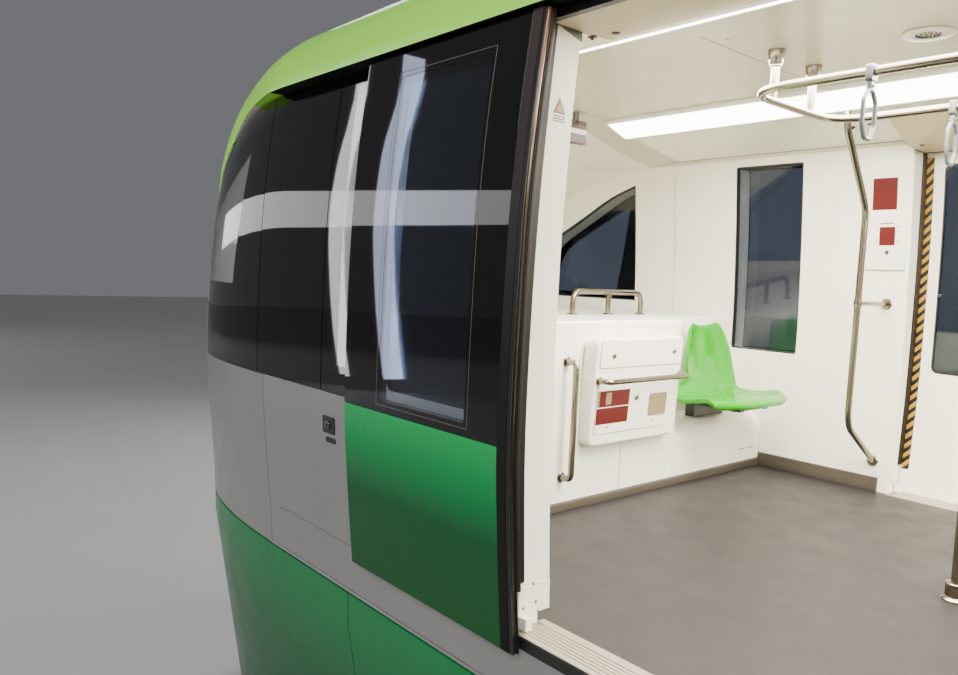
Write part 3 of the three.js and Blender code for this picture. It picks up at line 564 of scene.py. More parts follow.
def finish(
    name, colour, roughness=0.4, metallic=0.0, coat=0.0, variation=0.06, scale=3.0,
    grain=0.0, grain_scale=400.0, stretch=(1, 1, 1), specular=0.5, dirt=None,
):
    """Surface with cloudy colour and roughness, a fine grain, and dirt as (colour, scale, how rare)."""
    material, nodes, links = nodes_of(name)
    shader = nodes["Principled BSDF"]
    shader.inputs["Metallic"].default_value = metallic
    shader.inputs["Coat Weight"].default_value = coat
    shader.inputs["Coat Roughness"].default_value = 0.03
    shader.inputs["Specular IOR Level"].default_value = specular
    cloud = add_noise(nodes, links, scale, 4.0, stretch)
    low, high = shade(colour, 1 - variation), shade(colour, 1 + variation)
    ramp = ramp_of(nodes, links, cloud.outputs["Fac"], [(0.3, low), (0.7, high)])
    if dirt:
        spots = add_noise(nodes, links, dirt[1], 8.0)
        edge = [(dirt[2], (0, 0, 0)), (dirt[2] + 0.12, (1, 1, 1))]
        mask = ramp_of(nodes, links, spots.outputs["Fac"], edge)
        mix = nodes.new("ShaderNodeMix")
        mix.data_type = "RGBA"
        links.new(mask.outputs["Color"], mix.inputs["Factor"])
        links.new(ramp.outputs["Color"], mix.inputs["A"])
        mix.inputs["B"].default_value = (*dirt[0], 1)
        links.new(mix.outputs["Result"], shader.inputs["Base Color"])
    else:
        links.new(ramp.outputs["Color"], shader.inputs["Base Color"])
    rough = add_noise(nodes, links, scale * 2.3, 5.0, stretch)
    spread = ramp_of(
        nodes, links, rough.outputs["Fac"],
        [(0.3, (roughness * 0.85,) * 3), (0.7, (min(1, roughness * 1.15),) * 3)],
    )
    links.new(spread.outputs["Color"], shader.inputs["Roughness"])
    if grain:
        fine = add_noise(nodes, links, grain_scale, 2.0, stretch)
        bump = nodes.new("ShaderNodeBump")
        bump.inputs["Strength"].default_value = grain
        bump.inputs["Distance"].default_value = 0.001
        links.new(fine.outputs["Fac"], bump.inputs["Height"])
        links.new(bump.outputs["Normal"], shader.inputs["Normal"])
    return material


def graded(name, stops, low_z, high_z, roughness=0.32, coat=0.08):
    """Paint whose colour runs from one height to another."""
    material = finish(name, stops[0][1], roughness, coat=coat, grain=0.015, grain_scale=60, specular=0.2)
    nodes, links = material.node_tree.nodes, material.node_tree.links
    shader = nodes["Principled BSDF"]
    coordinates = nodes.new("ShaderNodeTexCoord")
    separate = nodes.new("ShaderNodeSeparateXYZ")
    height = nodes.new("ShaderNodeMapRange")
    height.inputs["From Min"].default_value = low_z
    height.inputs["From Max"].default_value = high_z
    links.new(coordinates.outputs["Object"], separate.inputs["Vector"])
    links.new(separate.outputs["Z"], height.inputs["Value"])
    ramp = ramp_of(nodes, links, height.outputs["Result"], stops)
    old = shader.inputs["Base Color"].links[0].from_socket
    mix = nodes.new("ShaderNodeMix")
    mix.data_type = "RGBA"
    mix.inputs["Factor"].default_value = 0.9
    links.new(old, mix.inputs["A"])
    links.new(ramp.outputs["Color"], mix.inputs["B"])
    links.new(mix.outputs["Result"], shader.inputs["Base Color"])
    return material


def glass(name, colour, roughness=0.02, transmission=1.0):
    material = finish(name, colour, roughness, variation=0.04, scale=1.2)
    shader = material.node_tree.nodes["Principled BSDF"]
    shader.inputs["Transmission Weight"].default_value = transmission
    shader.inputs["IOR"].default_value = 1.45
    return material


def glowing(name, colour, strength):
    material = finish(name, colour, 0.4, variation=0.02)
    shader = material.node_tree.nodes["Principled BSDF"]
    shader.inputs["Emission Color"].default_value = (*colour, 1)
    shader.inputs["Emission Strength"].default_value = strength
    return material


def striped(name, light, dark, width, slope):
    """Slanting stripes of two colours, over height and length."""
    material = finish(name, light, 0.45, grain=0.05)
    nodes, links = material.node_tree.nodes, material.node_tree.links
    shader = nodes["Principled BSDF"]
    coordinates = nodes.new("ShaderNodeTexCoord")
    separate = nodes.new("ShaderNodeSeparateXYZ")
    tilt = nodes.new("ShaderNodeMath")
    tilt.operation = "MULTIPLY_ADD"
    tilt.inputs[1].default_value = slope
    fraction = nodes.new("ShaderNodeMath")
    fraction.operation = "PINGPONG"
    fraction.inputs[1].default_value = width
    limit = nodes.new("ShaderNodeMath")
    limit.operation = "GREATER_THAN"
    limit.inputs[1].default_value = width / 2
    links.new(coordinates.outputs["Object"], separate.inputs["Vector"])
    links.new(separate.outputs["X"], tilt.inputs[0])
    links.new(separate.outputs["Z"], tilt.inputs[2])
    links.new(tilt.outputs["Value"], fraction.inputs[0])
    links.new(fraction.outputs["Value"], limit.inputs[0])
    ramp = ramp_of(nodes, links, limit.outputs["Value"], [(0.0, light), (1.0, dark)])
    ramp.color_ramp.interpolation = "CONSTANT"
    links.new(ramp.outputs["Color"], shader.inputs["Base Color"])
    return material


SILVER = finish(
    "silver_paint", (0.26, 0.254, 0.243), 0.34, 0.25, coat=0.2, variation=0.03, grain=0.02, grain_scale=90,
)
LIME = finish(
    "lime_paint", (0.40, 1.0, 0.075), 0.35, coat=0.12, variation=0.04, scale=1.5, grain=0.015, grain_scale=60,
    specular=0.3,
)
# Skirt green, painted darker towards the skirt's foot as painted shade under the body.
SKIRT_GREEN_PAINTED_SHADE = graded(
    "skirt_green_painted_shade", [(0.0, (0.004, 0.06, 0.02)), (0.6, (0.006, 0.12, 0.035)), (1.0, (0.008, 0.22, 0.06))],
    SKIRT_BOTTOM_Z, BODY_BOTTOM_Z,
)
# Leaf's lower panel: dark green up to mid-height, then lightening strongly towards the waist as a painted
# highlight.
LEAF_GREEN_PAINTED_HIGHLIGHT = graded(
    "leaf_green_painted_highlight", [(0.0, (0.0015, 0.075, 0.014)), (0.5, (0.002, 0.085, 0.024)), (1.0, (0.008, 0.41, 0.10))],
    0.42, WAIST_Z,
)
BLACK_GLASS = finish("black_glass", (0.0055, 0.0045, 0.004), 0.02, variation=0.2, scale=1.0)
PRINTED_LINE = finish("printed_line", (0.13, 0.11, 0.095), 0.3, variation=0.1)
TINTED = glass("tinted_glass", (0.58, 0.63, 0.71))
CLEAR = glass("clear_glass", (0.75, 0.82, 0.8))
CREAM = finish(
    "cream_lining", (0.86, 0.83, 0.72), 0.42, coat=0.05, variation=0.02, grain=0.05, grain_scale=250,
)
HEADER_CREAM = finish(
    "header_panel", (0.62, 0.50, 0.30), 0.4, coat=0.05, variation=0.04, grain=0.05, grain_scale=250,
)
WHITE = finish(
    "white_moulding", (0.83, 0.80, 0.73), 0.36, coat=0.2, variation=0.02, grain=0.05, grain_scale=250,
)
CEILING = finish("ceiling_panel", (0.60, 0.56, 0.43), 0.35, variation=0.01, grain=0.02, grain_scale=200)
FLOOR = finish(
    "floor_covering", (0.024, 0.021, 0.0215), 0.5, variation=0.02, grain=0.3, grain_scale=500, specular=0.25,
    dirt=((0.04, 0.0365, 0.037), 260.0, 0.64),
)
STEEL = finish(
    "brushed_stainless", (0.24, 0.21, 0.16), 0.2, 1.0, variation=0.03, grain=0.04, grain_scale=900,
    stretch=(1, 1, 0.05),
)
ALUMINIUM = finish(
    "aluminium", (0.46, 0.42, 0.36), 0.36, 0.9, variation=0.06, grain=0.15, grain_scale=700,
    stretch=(0.05, 1, 1),
)
SEAT = finish(
    "seat_plastic", (0.022, 0.26, 0.0025), 0.25, coat=0.15, variation=0.02, scale=3, grain=0.02,
    grain_scale=150, specular=0.3,
)
RUBBER = finish("black_rubber", (0.008, 0.008, 0.008), 0.45, variation=0.2, grain=0.1, grain_scale=300)
# Near-black green for the downward faces under the cant bands and the nose arch: painted shade under the
# overhang.
OVERHANG_PAINTED_SHADE = finish("overhang_painted_shade", (0.004, 0.008, 0.004), 0.6, variation=0.2, specular=0.1)
# Rubber of the nosings and seals, near-black at the floor and grey-brown at the top: painted shade low down
# and a painted sheen high up.
NOSING_RUBBER_PAINTED_LIGHT = graded(
    "nosing_rubber_painted_light",
    [(0.0, (0.003, 0.003, 0.003)), (0.5, (0.012, 0.010, 0.009)), (1.0, (0.055, 0.042, 0.038))],
    0.42, 2.34, 0.5, 0.0,
)
# Olive grey for the joint lines at the header's ends, and for a plate above the pillar that is painted shade.
OLIVE_JOINT_AND_SHADE = finish("header_joint_and_painted_shade", (0.10, 0.10, 0.065), 0.5, variation=0.08)
# Dark bronze profile whose colour rises to bright copper near the top: a painted reflection of the cabin's
# warm lights.
BRONZE_PAINTED_REFLECTION = graded(
    "bronze_profile", [(0.0, (0.006, 0.004, 0.003)), (0.5, (0.03, 0.013, 0.007)), (1.0, (0.42, 0.16, 0.05))],
    1.2, 2.34, 0.25, 0.3,
)
# Near-black for dark parts, also used as painted shade on the faces inside the roof units' fan wells and
# slots.
DARK = finish("dark_frame_and_painted_shade", (0.011, 0.011, 0.012), 0.4, variation=0.2, grain=0.1)
GREY = finish("grey_trim", (0.14, 0.13, 0.115), 0.45, variation=0.06, grain=0.1)
SHADOW_GREY = finish("panel_joint", (0.22, 0.195, 0.155), 0.5, variation=0.06)
RED = finish("red_plate", (0.085, 0.008, 0.008), 0.4, variation=0.08, grain=0.05, specular=0.2)
BEIGE = finish("beige_label", (0.24, 0.175, 0.10), 0.5, variation=0.08)
DISPLAY = finish("display_case", (0.07, 0.02, 0.014), 0.3, variation=0.1, grain=0.05)
YELLOW = finish("sign_yellow", (0.40, 0.20, 0.01), 0.45, variation=0.05)
ORANGE_BROWN = finish("sign_edge", (0.07, 0.022, 0.003), 0.45, variation=0.05)
HAZARD = striped("hazard_strip", (0.40, 0.215, 0.012), (0.006, 0.006, 0.006), 0.027, 1.0)
GREY_TRIM = finish("skirting_trim", (0.07, 0.058, 0.045), 0.4, 0.2, variation=0.06, grain=0.1)
STRAP_GREY = finish("strap_grey", (0.062, 0.068, 0.076), 0.35, coat=0.2, variation=0.06, grain=0.06)
LIGHT_STRIP = glowing("light_strip", (1.0, 0.97, 0.9), 12.0)
RED_LAMP = finish("red_lamp", (0.10, 0.008, 0.008), 0.25, variation=0.05)
BOGIE = finish(
    "bogie_paint", (0.045, 0.05, 0.055), 0.5, 0.2, variation=0.25, grain=0.3, grain_scale=180,
    dirt=((0.09, 0.075, 0.06), 7.0, 0.58),
)
TYRE = finish("tyre_rubber", (0.02, 0.02, 0.02), 0.75, variation=0.25, grain=0.5, grain_scale=250)
BELLOWS = finish("bellows_fabric", (0.035, 0.036, 0.04), 0.85, variation=0.2, grain=0.6, grain_scale=350)
LAMP_GLASS = glass("lamp_glass", (0.9, 0.93, 0.95))
CONCRETE = finish("studio_floor", (0.62, 0.61, 0.59), 0.7, variation=0.02, scale=0.6)


# Body outside and lining

def side_region(name, margin=0.0):
    """Side view of the walls, over the car's left half."""
    edge = [(x, max(z, WAIST_Z)) for x, z in reversed(curved(ARCH_LOWER_EDGE)[1:])]
    outline = [
        (INSIDE_REAR_X, BODY_BOTTOM_Z), (NOSE_JOINT_X - PANEL_GAP, BODY_BOTTOM_Z),
        (NOSE_JOINT_X - PANEL_GAP, WAIST_Z + margin),
        *[(x - margin, max(z - margin, WAIST_Z + margin)) for x, z in edge],
        (NOSE_JOINT_X, CANT_Z - margin), (INSIDE_REAR_X, CANT_Z - margin),
    ]
    return prism(name, outline, "y", 0.001, 2.0)


def window_outlines(margin, radius):
    """Outline of each window with a margin around it."""
    low, high = WINDOW_LOW_Z - margin, WINDOW_HIGH_Z + margin
    return [rounded(x0 - margin, x1 + margin, low, high, radius) for x0, x1 in WINDOW_SPANS]


def grown(outline, margin):
    """Outline moved outwards from its middle on every side."""
    middle_x = sum(x for x, z in outline) / len(outline)
    middle_z = sum(z for x, z in outline) / len(outline)
    moved_out = []
    for x, z in outline:
        away = Vector((x - middle_x, z - middle_z))
        away = away + away.normalized() * margin
        moved_out.append((middle_x + away.x, middle_z + away.y))
    return moved_out


def all_windows():
    """Every fixed side window as its outline."""
    return window_outlines(0.0, 0.012) + [rim_curved(QUARTER_WINDOW)]


def side_wall():
    """Left wall: thinner behind the glazing strips, with its doorways and windows cut."""
    outer = copied("side_wall_piece_left", tool("body"))
    spans = GLAZING_STRIPS.values()
    for x0, x1 in spans:
        cut(outer, block("zone", (x0, 1.0, WAIST_Z), (x1, 2.0, 2.6)))
    zones = [block("zone", (x0, 0.001, WAIST_Z - 0.001), (x1, 2.0, 2.6)) for x0, x1 in spans]
    inner = copied("inner", tool("body", 0.0103))
    within(inner, joined("zones", zones))
    merged(outer, inner)
    cut(outer, tool("cabin"), keep=True)
    within(outer, side_region("region"))
    for centre in DOORWAYS.values():
        opening = rounded(
            centre - DOORWAY_HALF, centre + DOORWAY_HALF, FLOOR_Z - 0.0005, DOORWAY_TOP_Z, 0.012, 3,
        )
        cut(outer, prism("doorway", opening, "y", 1.0, 2.0))
    for outline in all_windows():
        cut(outer, prism("window", outline, "y", 0.6, 2.0))
    return outer


def dress_walls():
    left = side_wall()
    paint(left, CREAM)
    paint(left, SILVER, lambda c, n: c.y > 1.42 and n.y > 0.3)
    paint(left, RUBBER, lambda c, n: c.z > WAIST_Z and c.y > 1.42 and n.y > 0.3)
    paint(left, RUBBER, lambda c, n: abs(n.y) < 0.3 and c.z > WAIST_Z and c.y > 1.40 and c.x > 5.22)
    paint(left, RUBBER, lambda c, n: n.z < -0.5 and 2.3 < c.z < CANT_Z and c.y > 1.3)
    placed_pair(left, "side_wall", 30)


def dress_glazing():
    """Black glazing strips with joints, and their clear parts over the windows."""
    openings = [grown(outline, -0.008) for outline in all_windows()[:-1]] + [rim_curved(QUARTER_WINDOW_CLEAR)]
    for name, (x0, x1) in GLAZING_STRIPS.items():
        strip = copied(f"glazing_piece_{name}_left", tool("body"))
        cut(strip, tool("body", 0.0095), keep=True)
        within(strip, block("span", (x0 + PANEL_GAP, 0.3, WAIST_Z + PANEL_GAP), (x1 - PANEL_GAP, 2, CANT_Z)))
        within(strip, side_region("region", PANEL_GAP / 2))
        pane = copied(f"window_panes_{name}_left", strip)
        for outline in openings:
            cut(strip, prism("opening", outline, "y", 0.6, 2.0))
        within(pane, joined("openings", [prism("opening", outline, "y", 0.6, 2.0) for outline in openings]))
        for x in GLAZING_JOINTS[name]:
            cut(strip, block("joint", (x - 0.003, 1.2, WAIST_Z), (x + 0.003, 1.6, CANT_Z + 0.01)))
        placed_pair(paint(strip, BLACK_GLASS), f"glazing_{name}", 30)
        placed_pair(paint(pane, TINTED), "", 30)


def dress_window_units():
    """Rubber frame and inner pane of every side window, level with the lining."""
    for side, sign in SIDES.items():
        frames, panes = [], []
        quarter = rim_curved(QUARTER_WINDOW)
        outlines = [*zip(window_outlines(0.0, 0.012), window_outlines(-0.006, 0.004))]
        outlines.append((grown(quarter, -0.001), grown(quarter, -0.010)))
        for outline, hole in outlines:
            frames.append(paint(framed("frame", "cabin", -0.03, 0.0015, outline, hole, sign), RUBBER))
            panes.append(paint(layer("pane", "cabin", -0.034, -0.028, grown(hole, 0.002), sign), TINTED))
        placed(joined(f"window_frames_{side}", frames), smooth=30)
        placed(joined(f"inner_panes_{side}", panes), smooth=30)


def sill_fairing(name, sign):
    """Raised panel along the foot of the wall."""
    outline = rounded(-5.95, 5.0, BODY_BOTTOM_Z + 0.018, 0.443, 0.012)
    return layer(name, "body", -0.006, 0.001, outline, sign)


def body_lip(name, sign):
    """Rolled edge over the skirt."""
    lip = [(0.0, 0.0), (0.007, 0.0005), (0.0095, 0.003), (0.0095, 0.009), (0.007, 0.012), (0.0, 0.014)]
    section = [(sign * (1.4535 + out), BODY_BOTTOM_Z + up) for out, up in lip]
    return prism(name, section, "x", INSIDE_REAR_X, NOSE_JOINT_X - PANEL_GAP)


def latch_plates(name, sign):
    """Dark plates with a turning knob behind the nose."""
    plates = []
    for x0, x1, z0, z1 in ((4.438, 4.532, 0.892, 0.963), (4.435, 4.511, 0.854, 0.875)):
        plate = layer("plate", "body", -0.004, 0.002, rounded(x0, x1, z0, z1, 0.006), sign)
        plates.append(paint(plate, DARK))
    y = wall_half_width(0.93)
    profile = [(0, 0), (0.016, 0), (0.016, 0.006), (0.010, 0.010), (0, 0.010)]
    knob = moved(lathe("knob", profile, (0, 0, 0), "y", 24), (4.485, y + 0.003, 0.928))
    bar = slab("bar", (4.479, y + 0.010, 0.916), (4.491, y + 0.017, 0.940), 0.003, "y", STEEL)
    for part in (paint(knob, STEEL), bar):
        plates.append(part if sign > 0 else flipped(part))
    return joined(name, plates)


def dress_body_trim():
    for side, sign in SIDES.items():
        placed(paint(sill_fairing(f"sill_fairing_{side}", sign), SILVER), smooth=30, bevel=0.0025)
        placed(paint(body_lip(f"body_lip_{side}", sign), SILVER), smooth=30, bevel=0.001)
        placed(latch_plates(f"latch_plates_{side}", sign), bevel=0.0006)


def dress_roof():
    """Roof with its sheet joints, and the green cant bands."""
    top = copied("roof_piece", tool("roof"))
    cut(top, tool("cabin"), keep=True)
    left = copied("cant_band_piece_left", top)
    within(top, block("span", (INSIDE_REAR_X, -1.3, CANT_Z), (NOSE_JOINT_X, 1.3, 3)))
    within(left, block("span", (INSIDE_REAR_X, 1.3 + PANEL_GAP, CANT_Z), (NOSE_JOINT_X, 2, 3)))
    for x in even(-5.0, 4.0, 10):
        cut(top, block("joint", (x - 0.004, -1.4, 2.64), (x + 0.004, 1.4, 2.8)))
    paint(top, SILVER)
    paint(top, CEILING, lambda c, n: n.z < -0.2)
    placed(top, replaces=["roof"], smooth=25)
    paint(left, LIME)
    paint(left, CREAM, lambda c, n: c.y < 1.4 and n.y < -0.2)
    # Faces under the band's overhang painted near-black as painted shade.
    paint(left, OVERHANG_PAINTED_SHADE, lambda c, n: n.z < -0.9)
    placed_pair(left, "cant_band", 40)


def roof_unit(name, x0, x1):
    """Housing of a roof unit with two fan openings and slots along its sides."""
    outline = [(-0.86, 2.66), (0.86, 2.66), (0.86, 2.84), (0.78, 2.93), (-0.78, 2.93), (-0.86, 2.84)]
    unit = cut(prism(name, outline, "x", x0, x1), tool("roof"), keep=True)
    for x in (x0 + FAN_INSET, x1 - FAN_INSET):
        cut(unit, lathe("fan", [(0, 0), (0.29, 0), (0.29, 0.2), (0, 0.2)], (x, 0, 2.89), "z", 48))
    for side in (-1, 1):
        low, high = sorted((side * 0.84, side * 0.9))
        for i in range(7):
            z = 2.70 + 0.018 * i
            cut(unit, block("slot", (x0 + 0.2, low, z), (x1 - 0.2, high, z + 0.009)))
    paint(unit, SILVER)
    # Floors of the fan wells and faces inside the side slots painted dark: painted shade in these openings.
    return paint(unit, DARK, lambda c, n: n.z > 0.9 and c.z < 2.92 or (n.z < -0.5 and c.z > 2.7))


def fan_grille(x):
    """Rings, spokes and hub over a fan."""
    parts = []
    for i in range(5):
        radius = 0.06 + 0.05 * i
        ring = [
            (x + radius * math.cos(a), radius * math.sin(a), 2.922) for a in around(24)
        ]
        parts.append(tube("ring", ring, 0.004, 0.0, 6, closed=True))
    for k in range(4):
        a = math.pi / 4 * k
        along, across = 0.285 * math.cos(a), 0.285 * math.sin(a)
        parts.append(tube("spoke", [(x - along, -across, 2.916), (x + along, across, 2.916)], 0.005, 0.0, 6))
    hub = [(0, 0), (0.07, 0), (0.07, 0.012), (0.06, 0.016), (0, 0.016)]
    parts.append(lathe("hub", hub, (x, 0, 2.895), "z", 24))
    return [paint(part, DARK) for part in parts]


def dress_roof_units():
    for name, (x0, x1) in ROOF_UNITS.items():
        unit = roof_unit(f"roof_unit_piece_{name}", x0, x1)
        placed(unit, replaces=[f"roof_unit_{name}"], bevel=0.006)
        grilles = fan_grille(x0 + FAN_INSET) + fan_grille(x1 - FAN_INSET)
        placed(joined(f"roof_unit_grilles_{name}", grilles))


def nose_edge(points, side):
    """Edge of a nose panel, half a gap inside or outside its line."""
    gap = PANEL_GAP / 2
    return [(x + side * gap, z + gap) for x, z in curved(points)]


def dress_nose_arch():
    arch = copied("nose_arch_piece", tool("roof"))
    merged(arch, tool("body"), keep=True)
    cut(arch, tool("cabin"), keep=True)
    outline = nose_edge(ARCH_LOWER_EDGE, 1) + nose_edge(WINDSCREEN_EDGE, -1)
    outline.append((NOSE_JOINT_X + PANEL_GAP / 2, 2.9))
    within(arch, prism("region", outline, "y", -2, 2))
    paint(arch, LIME)
    paint(arch, CREAM, lambda c, n: n.z < -0.3 and c.z < 2.6 and abs(c.y) < 1.3)
    paint(arch, CREAM, lambda c, n: n.y * c.y < 0 and abs(n.y) > 0.5 and abs(c.y) < 1.32)
    # Faces under the arch's overhang painted near-black as painted shade.
    paint(arch, OVERHANG_PAINTED_SHADE, lambda c, n: n.z < -0.8 and abs(c.y) > 1.4)
    placed(arch, replaces=["nose_arch"], smooth=40)


def dress_windscreen():
    screen = copied("windscreen_piece", tool("body"))
    cut(screen, tool("body", 0.02), keep=True)
    outline = [(7.1, WAIST_Z + PANEL_GAP / 2), *nose_edge(WINDSCREEN_EDGE, 1), (7.1, 2.9)]
    within(screen, prism("region", outline, "y", -2, 2))
    paint(screen, TINTED)
    paint(screen, BLACK_GLASS, lambda c, n: c.z < 1.2 or c.z > 2.2 or abs(c.y) > 1.08)
    placed(screen, replaces=["windscreen"], smooth=40)


def nose_underside():
    """Hollow under the nose between the skirts."""
    low, high = SKIRT_BOTTOM_Z - 0.4, SKIRT_BOTTOM_Z + 0.1
    channel = [(0, low), (1.17, low), (1.17, high), (0, high)]
    hollow = loft("underside", channel, 5.0, NOSE_START_X - 0.06, NOSE_TIP_X - 0.06)
    return within(hollow, block("span", (5.05, -2, low - 0.1), (6.45, 2, 0)))


def dress_nose_shell():
    """Nose moulding with its lamp openings, beam slot and the line between silver and green."""
    shell = copied("nose_shell_piece", tool("body"))
    cut(shell, tool("body", 0.06), keep=True)
    start = NOSE_JOINT_X + PANEL_GAP / 2
    within(shell, block("span", (start, -2, SKIRT_BOTTOM_Z - 0.01), (7.1, 2, WAIST_Z)))
    cut(shell, nose_underside())
    cut(shell, block("beam_slot", (4, -0.42, -1.3), (7.1, 0.42, 0.06)))
    for sign in SIDES.values():
        cut(shell, prism("lamp_opening", [(sign * y, z) for y, z in HEADLAMP], "x", 5.9, 7.2))
    groove = copied("groove", tool("body", -0.01))
    cut(groove, tool("body", 0.008), keep=True)
    within(groove, block("band", (4.9, -2, BODY_BOTTOM_Z - 0.012), (7.3, 2, BODY_BOTTOM_Z)))
    cut(shell, groove)
    paint(shell, SILVER)
    paint(shell, SKIRT_GREEN_PAINTED_SHADE, lambda c, n: c.z < BODY_BOTTOM_Z)
    placed(shell, replaces=["nose_shell"], smooth=40)


def nose_layer(name, outer, inner, outline, reach=(5.9, 7.2)):
    """Patch of the nose between two insets, inside an outline seen from the front."""
    return layer(name, "body", outer, inner, outline, axis="x", reach=reach)


def dress_headlamps():
    """Bowl, rim, three lamps and lens on each side."""
    lamps = [(0.70, 0.71, ALUMINIUM), (0.82, 0.74, ALUMINIUM), (0.95, 0.78, RED)]
    for side, sign in SIDES.items():
        outline = [(sign * y, z) for y, z in grown(HEADLAMP, -0.0012)]
        small = grown(outline, -0.022)
        bowl = paint(nose_layer("bowl", 0.030, 0.045, outline), DARK)
        rim = nose_layer("rim", -0.002, 0.0305, outline)
        parts = [bowl, paint(cut(rim, prism("hole", small, "x", 5.8, 7.3)), DARK)]
        for y, z, material in lamps:
            rings = ((0.048, 0.020, DARK), (0.040, 0.014, material), (0.014, 0.008, CLEAR))
            for radius, outer, surface in rings:
                ring = nose_layer("lamp", outer, 0.031, arc((sign * y, z), radius, 0, 352, 22))
                parts.append(paint(ring, surface))
        headlamp = joined(f"headlamp_piece_{side}", parts)
        placed(headlamp, replaces=[f"headlamp_{side}"], smooth=40)
        lens = nose_layer(f"lamp_lens_{side}", 0.001, 0.004, grown(small, 0.004))
        placed(paint(lens, LAMP_GLASS), smooth=40)


def dress_nose_details():
    """Coupling hatch and windscreen wiper."""
    hatch = nose_layer("coupler_hatch", -0.004, 0.002, rounded(-0.3, 0.3, 0.32, 0.56, 0.03), (6.2, 7.2))
    placed(paint(hatch, SILVER), smooth=40, bevel=0.002)
    blade = [(-0.48, 1.30), (-0.455, 1.29), (0.06, 1.78), (0.04, 1.80)]
    arm = [(-0.012, 1.08), (0.012, 1.08), (-0.18, 1.56), (-0.205, 1.55)]
    wiper = [
        paint(nose_layer("blade", -0.018, -0.002, blade), RUBBER),
        paint(nose_layer("arm", -0.03, -0.016, arm), DARK),
    ]
    placed(joined("wiper", wiper), smooth=40)


def dress_skirts():
    left = copied("skirt_piece_left", tool("body"))
    cut(left, tool("body", 0.04), keep=True)
    top = BODY_BOTTOM_Z - 0.012
    within(left, block("span", (END_WALL_X, 0.6, SKIRT_BOTTOM_Z - 0.01), (NOSE_JOINT_X, 2, top)))
    for x in (-4.6, -3.0, -1.5, 0.0, 1.5, 3.0, 4.4):
        cut(left, block("joint", (x - 0.003, 1.0, -1.3), (x + 0.003, 1.6, 0.3)))
    placed_pair(paint(left, SKIRT_GREEN_PAINTED_SHADE), "skirt", 30)


# Door leaves, built as the left fore leaf with its nosing at X 0

LEAF_LOW_Z = 0.418
LEAF_HIGH_Z = 2.344
NOSING = 0.059
SEAL_LOW_Z = 0.616
LEAF_BACK = -LEAF_THICKNESS
LEAF_WINDOW = (0.217, 0.698, 1.103, 2.25)
LEAF_OPENING = rounded(*LEAF_WINDOW, 0.012)
LEAF_INNER_OPENING = rounded(
    LEAF_WINDOW[0] + 0.002, LEAF_WINDOW[1] - 0.002, LEAF_WINDOW[2] + 0.042, LEAF_WINDOW[3] + 0.004, 0.035,
)
# How far the two leaves of each doorway stand open
LEAF_OPENINGS = {
    "front_left": LEAF_TRAVEL, "front_right": SHUT_CLEARANCE, "rear_left": SHUT_CLEARANCE,
    "rear_right": SHUT_CLEARANCE,
}


def leaf_slab(name, x0, x1, z0, z1, out0, out1, rows=22):
    """Curved panel between two depths from the outside of the leaf."""
    heights = even(z0, z1, rows)
    outside = [(leaf_half_width(z) + out1, z) for z in heights]
    inside = [(leaf_half_width(z) + out0, z) for z in reversed(heights)]
    return prism(name, outside + inside, "x", x0, x1)


def leaf_panels():
    """Outer panels round the window opening, the printed line, the lining and the inner frame."""
    x0, x1, z0, z1 = LEAF_WINDOW
    lower = leaf_slab("lower", NOSING, LEAF_LENGTH, LEAF_LOW_Z, WAIST_Z - 0.001, LEAF_BACK + 0.003, 0.0)
    upper = leaf_slab("upper", NOSING, LEAF_LENGTH, WAIST_Z + 0.001, LEAF_HIGH_Z, LEAF_BACK + 0.003, 0.0)
    cut(upper, prism("hole", LEAF_OPENING, "y", 1.0, 2.0))
    edge = 0.018
    line = leaf_slab("line", x0 - edge, x1 + edge, z0 - edge, z1 + edge, -0.002, 0.0005)
    wide, high = edge - 0.0026, edge - 0.003
    cut(line, block("hole", (x0 - wide, 1, z0 - high), (x1 + wide, 2, z1 + high)))
    lining = leaf_slab(
        "lining", NOSING, LEAF_LENGTH - 0.004, LEAF_LOW_Z + 0.01, LEAF_HIGH_Z - 0.01,
        LEAF_BACK, LEAF_BACK + 0.0028,
    )
    cut(lining, prism("hole", LEAF_INNER_OPENING, "y", 1.0, 2.0))
    frame_ring = leaf_slab(
        "inner_frame", x0 - 0.006, x1 + 0.006, z0 + 0.034, z1 + 0.012, LEAF_BACK - 0.003, LEAF_BACK + 0.004,
    )
    within(frame_ring, prism("fit", grown(LEAF_INNER_OPENING, 0.008), "y", 1.0, 2.0))
    cut(frame_ring, prism("hole", grown(LEAF_INNER_OPENING, -0.010), "y", 1.0, 2.0))
    return [
        paint(lower, LEAF_GREEN_PAINTED_HIGHLIGHT), paint(upper, BLACK_GLASS), paint(line, PRINTED_LINE), paint(lining, CREAM),
        paint(frame_ring, RUBBER),
    ]


def leaf_panes():
    """Outer and inner glass of a leaf."""
    x0, x1, z0, z1 = LEAF_WINDOW
    pane = within(
        leaf_slab("pane", x0 - 0.01, x1 + 0.01, z0 - 0.01, z1 + 0.01, -0.012, -0.0006),
        prism("fit", grown(LEAF_OPENING, 0.001), "y", 1.0, 2.0),
    )
    inner_pane = within(
        leaf_slab("inner_pane", x0, x1, z0, z1 + 0.02, LEAF_BACK + 0.0005, LEAF_BACK + 0.004),
        prism("fit", grown(LEAF_INNER_OPENING, -0.004), "y", 1.0, 2.0),
    )
    return [paint(pane, TINTED), paint(inner_pane, TINTED)]


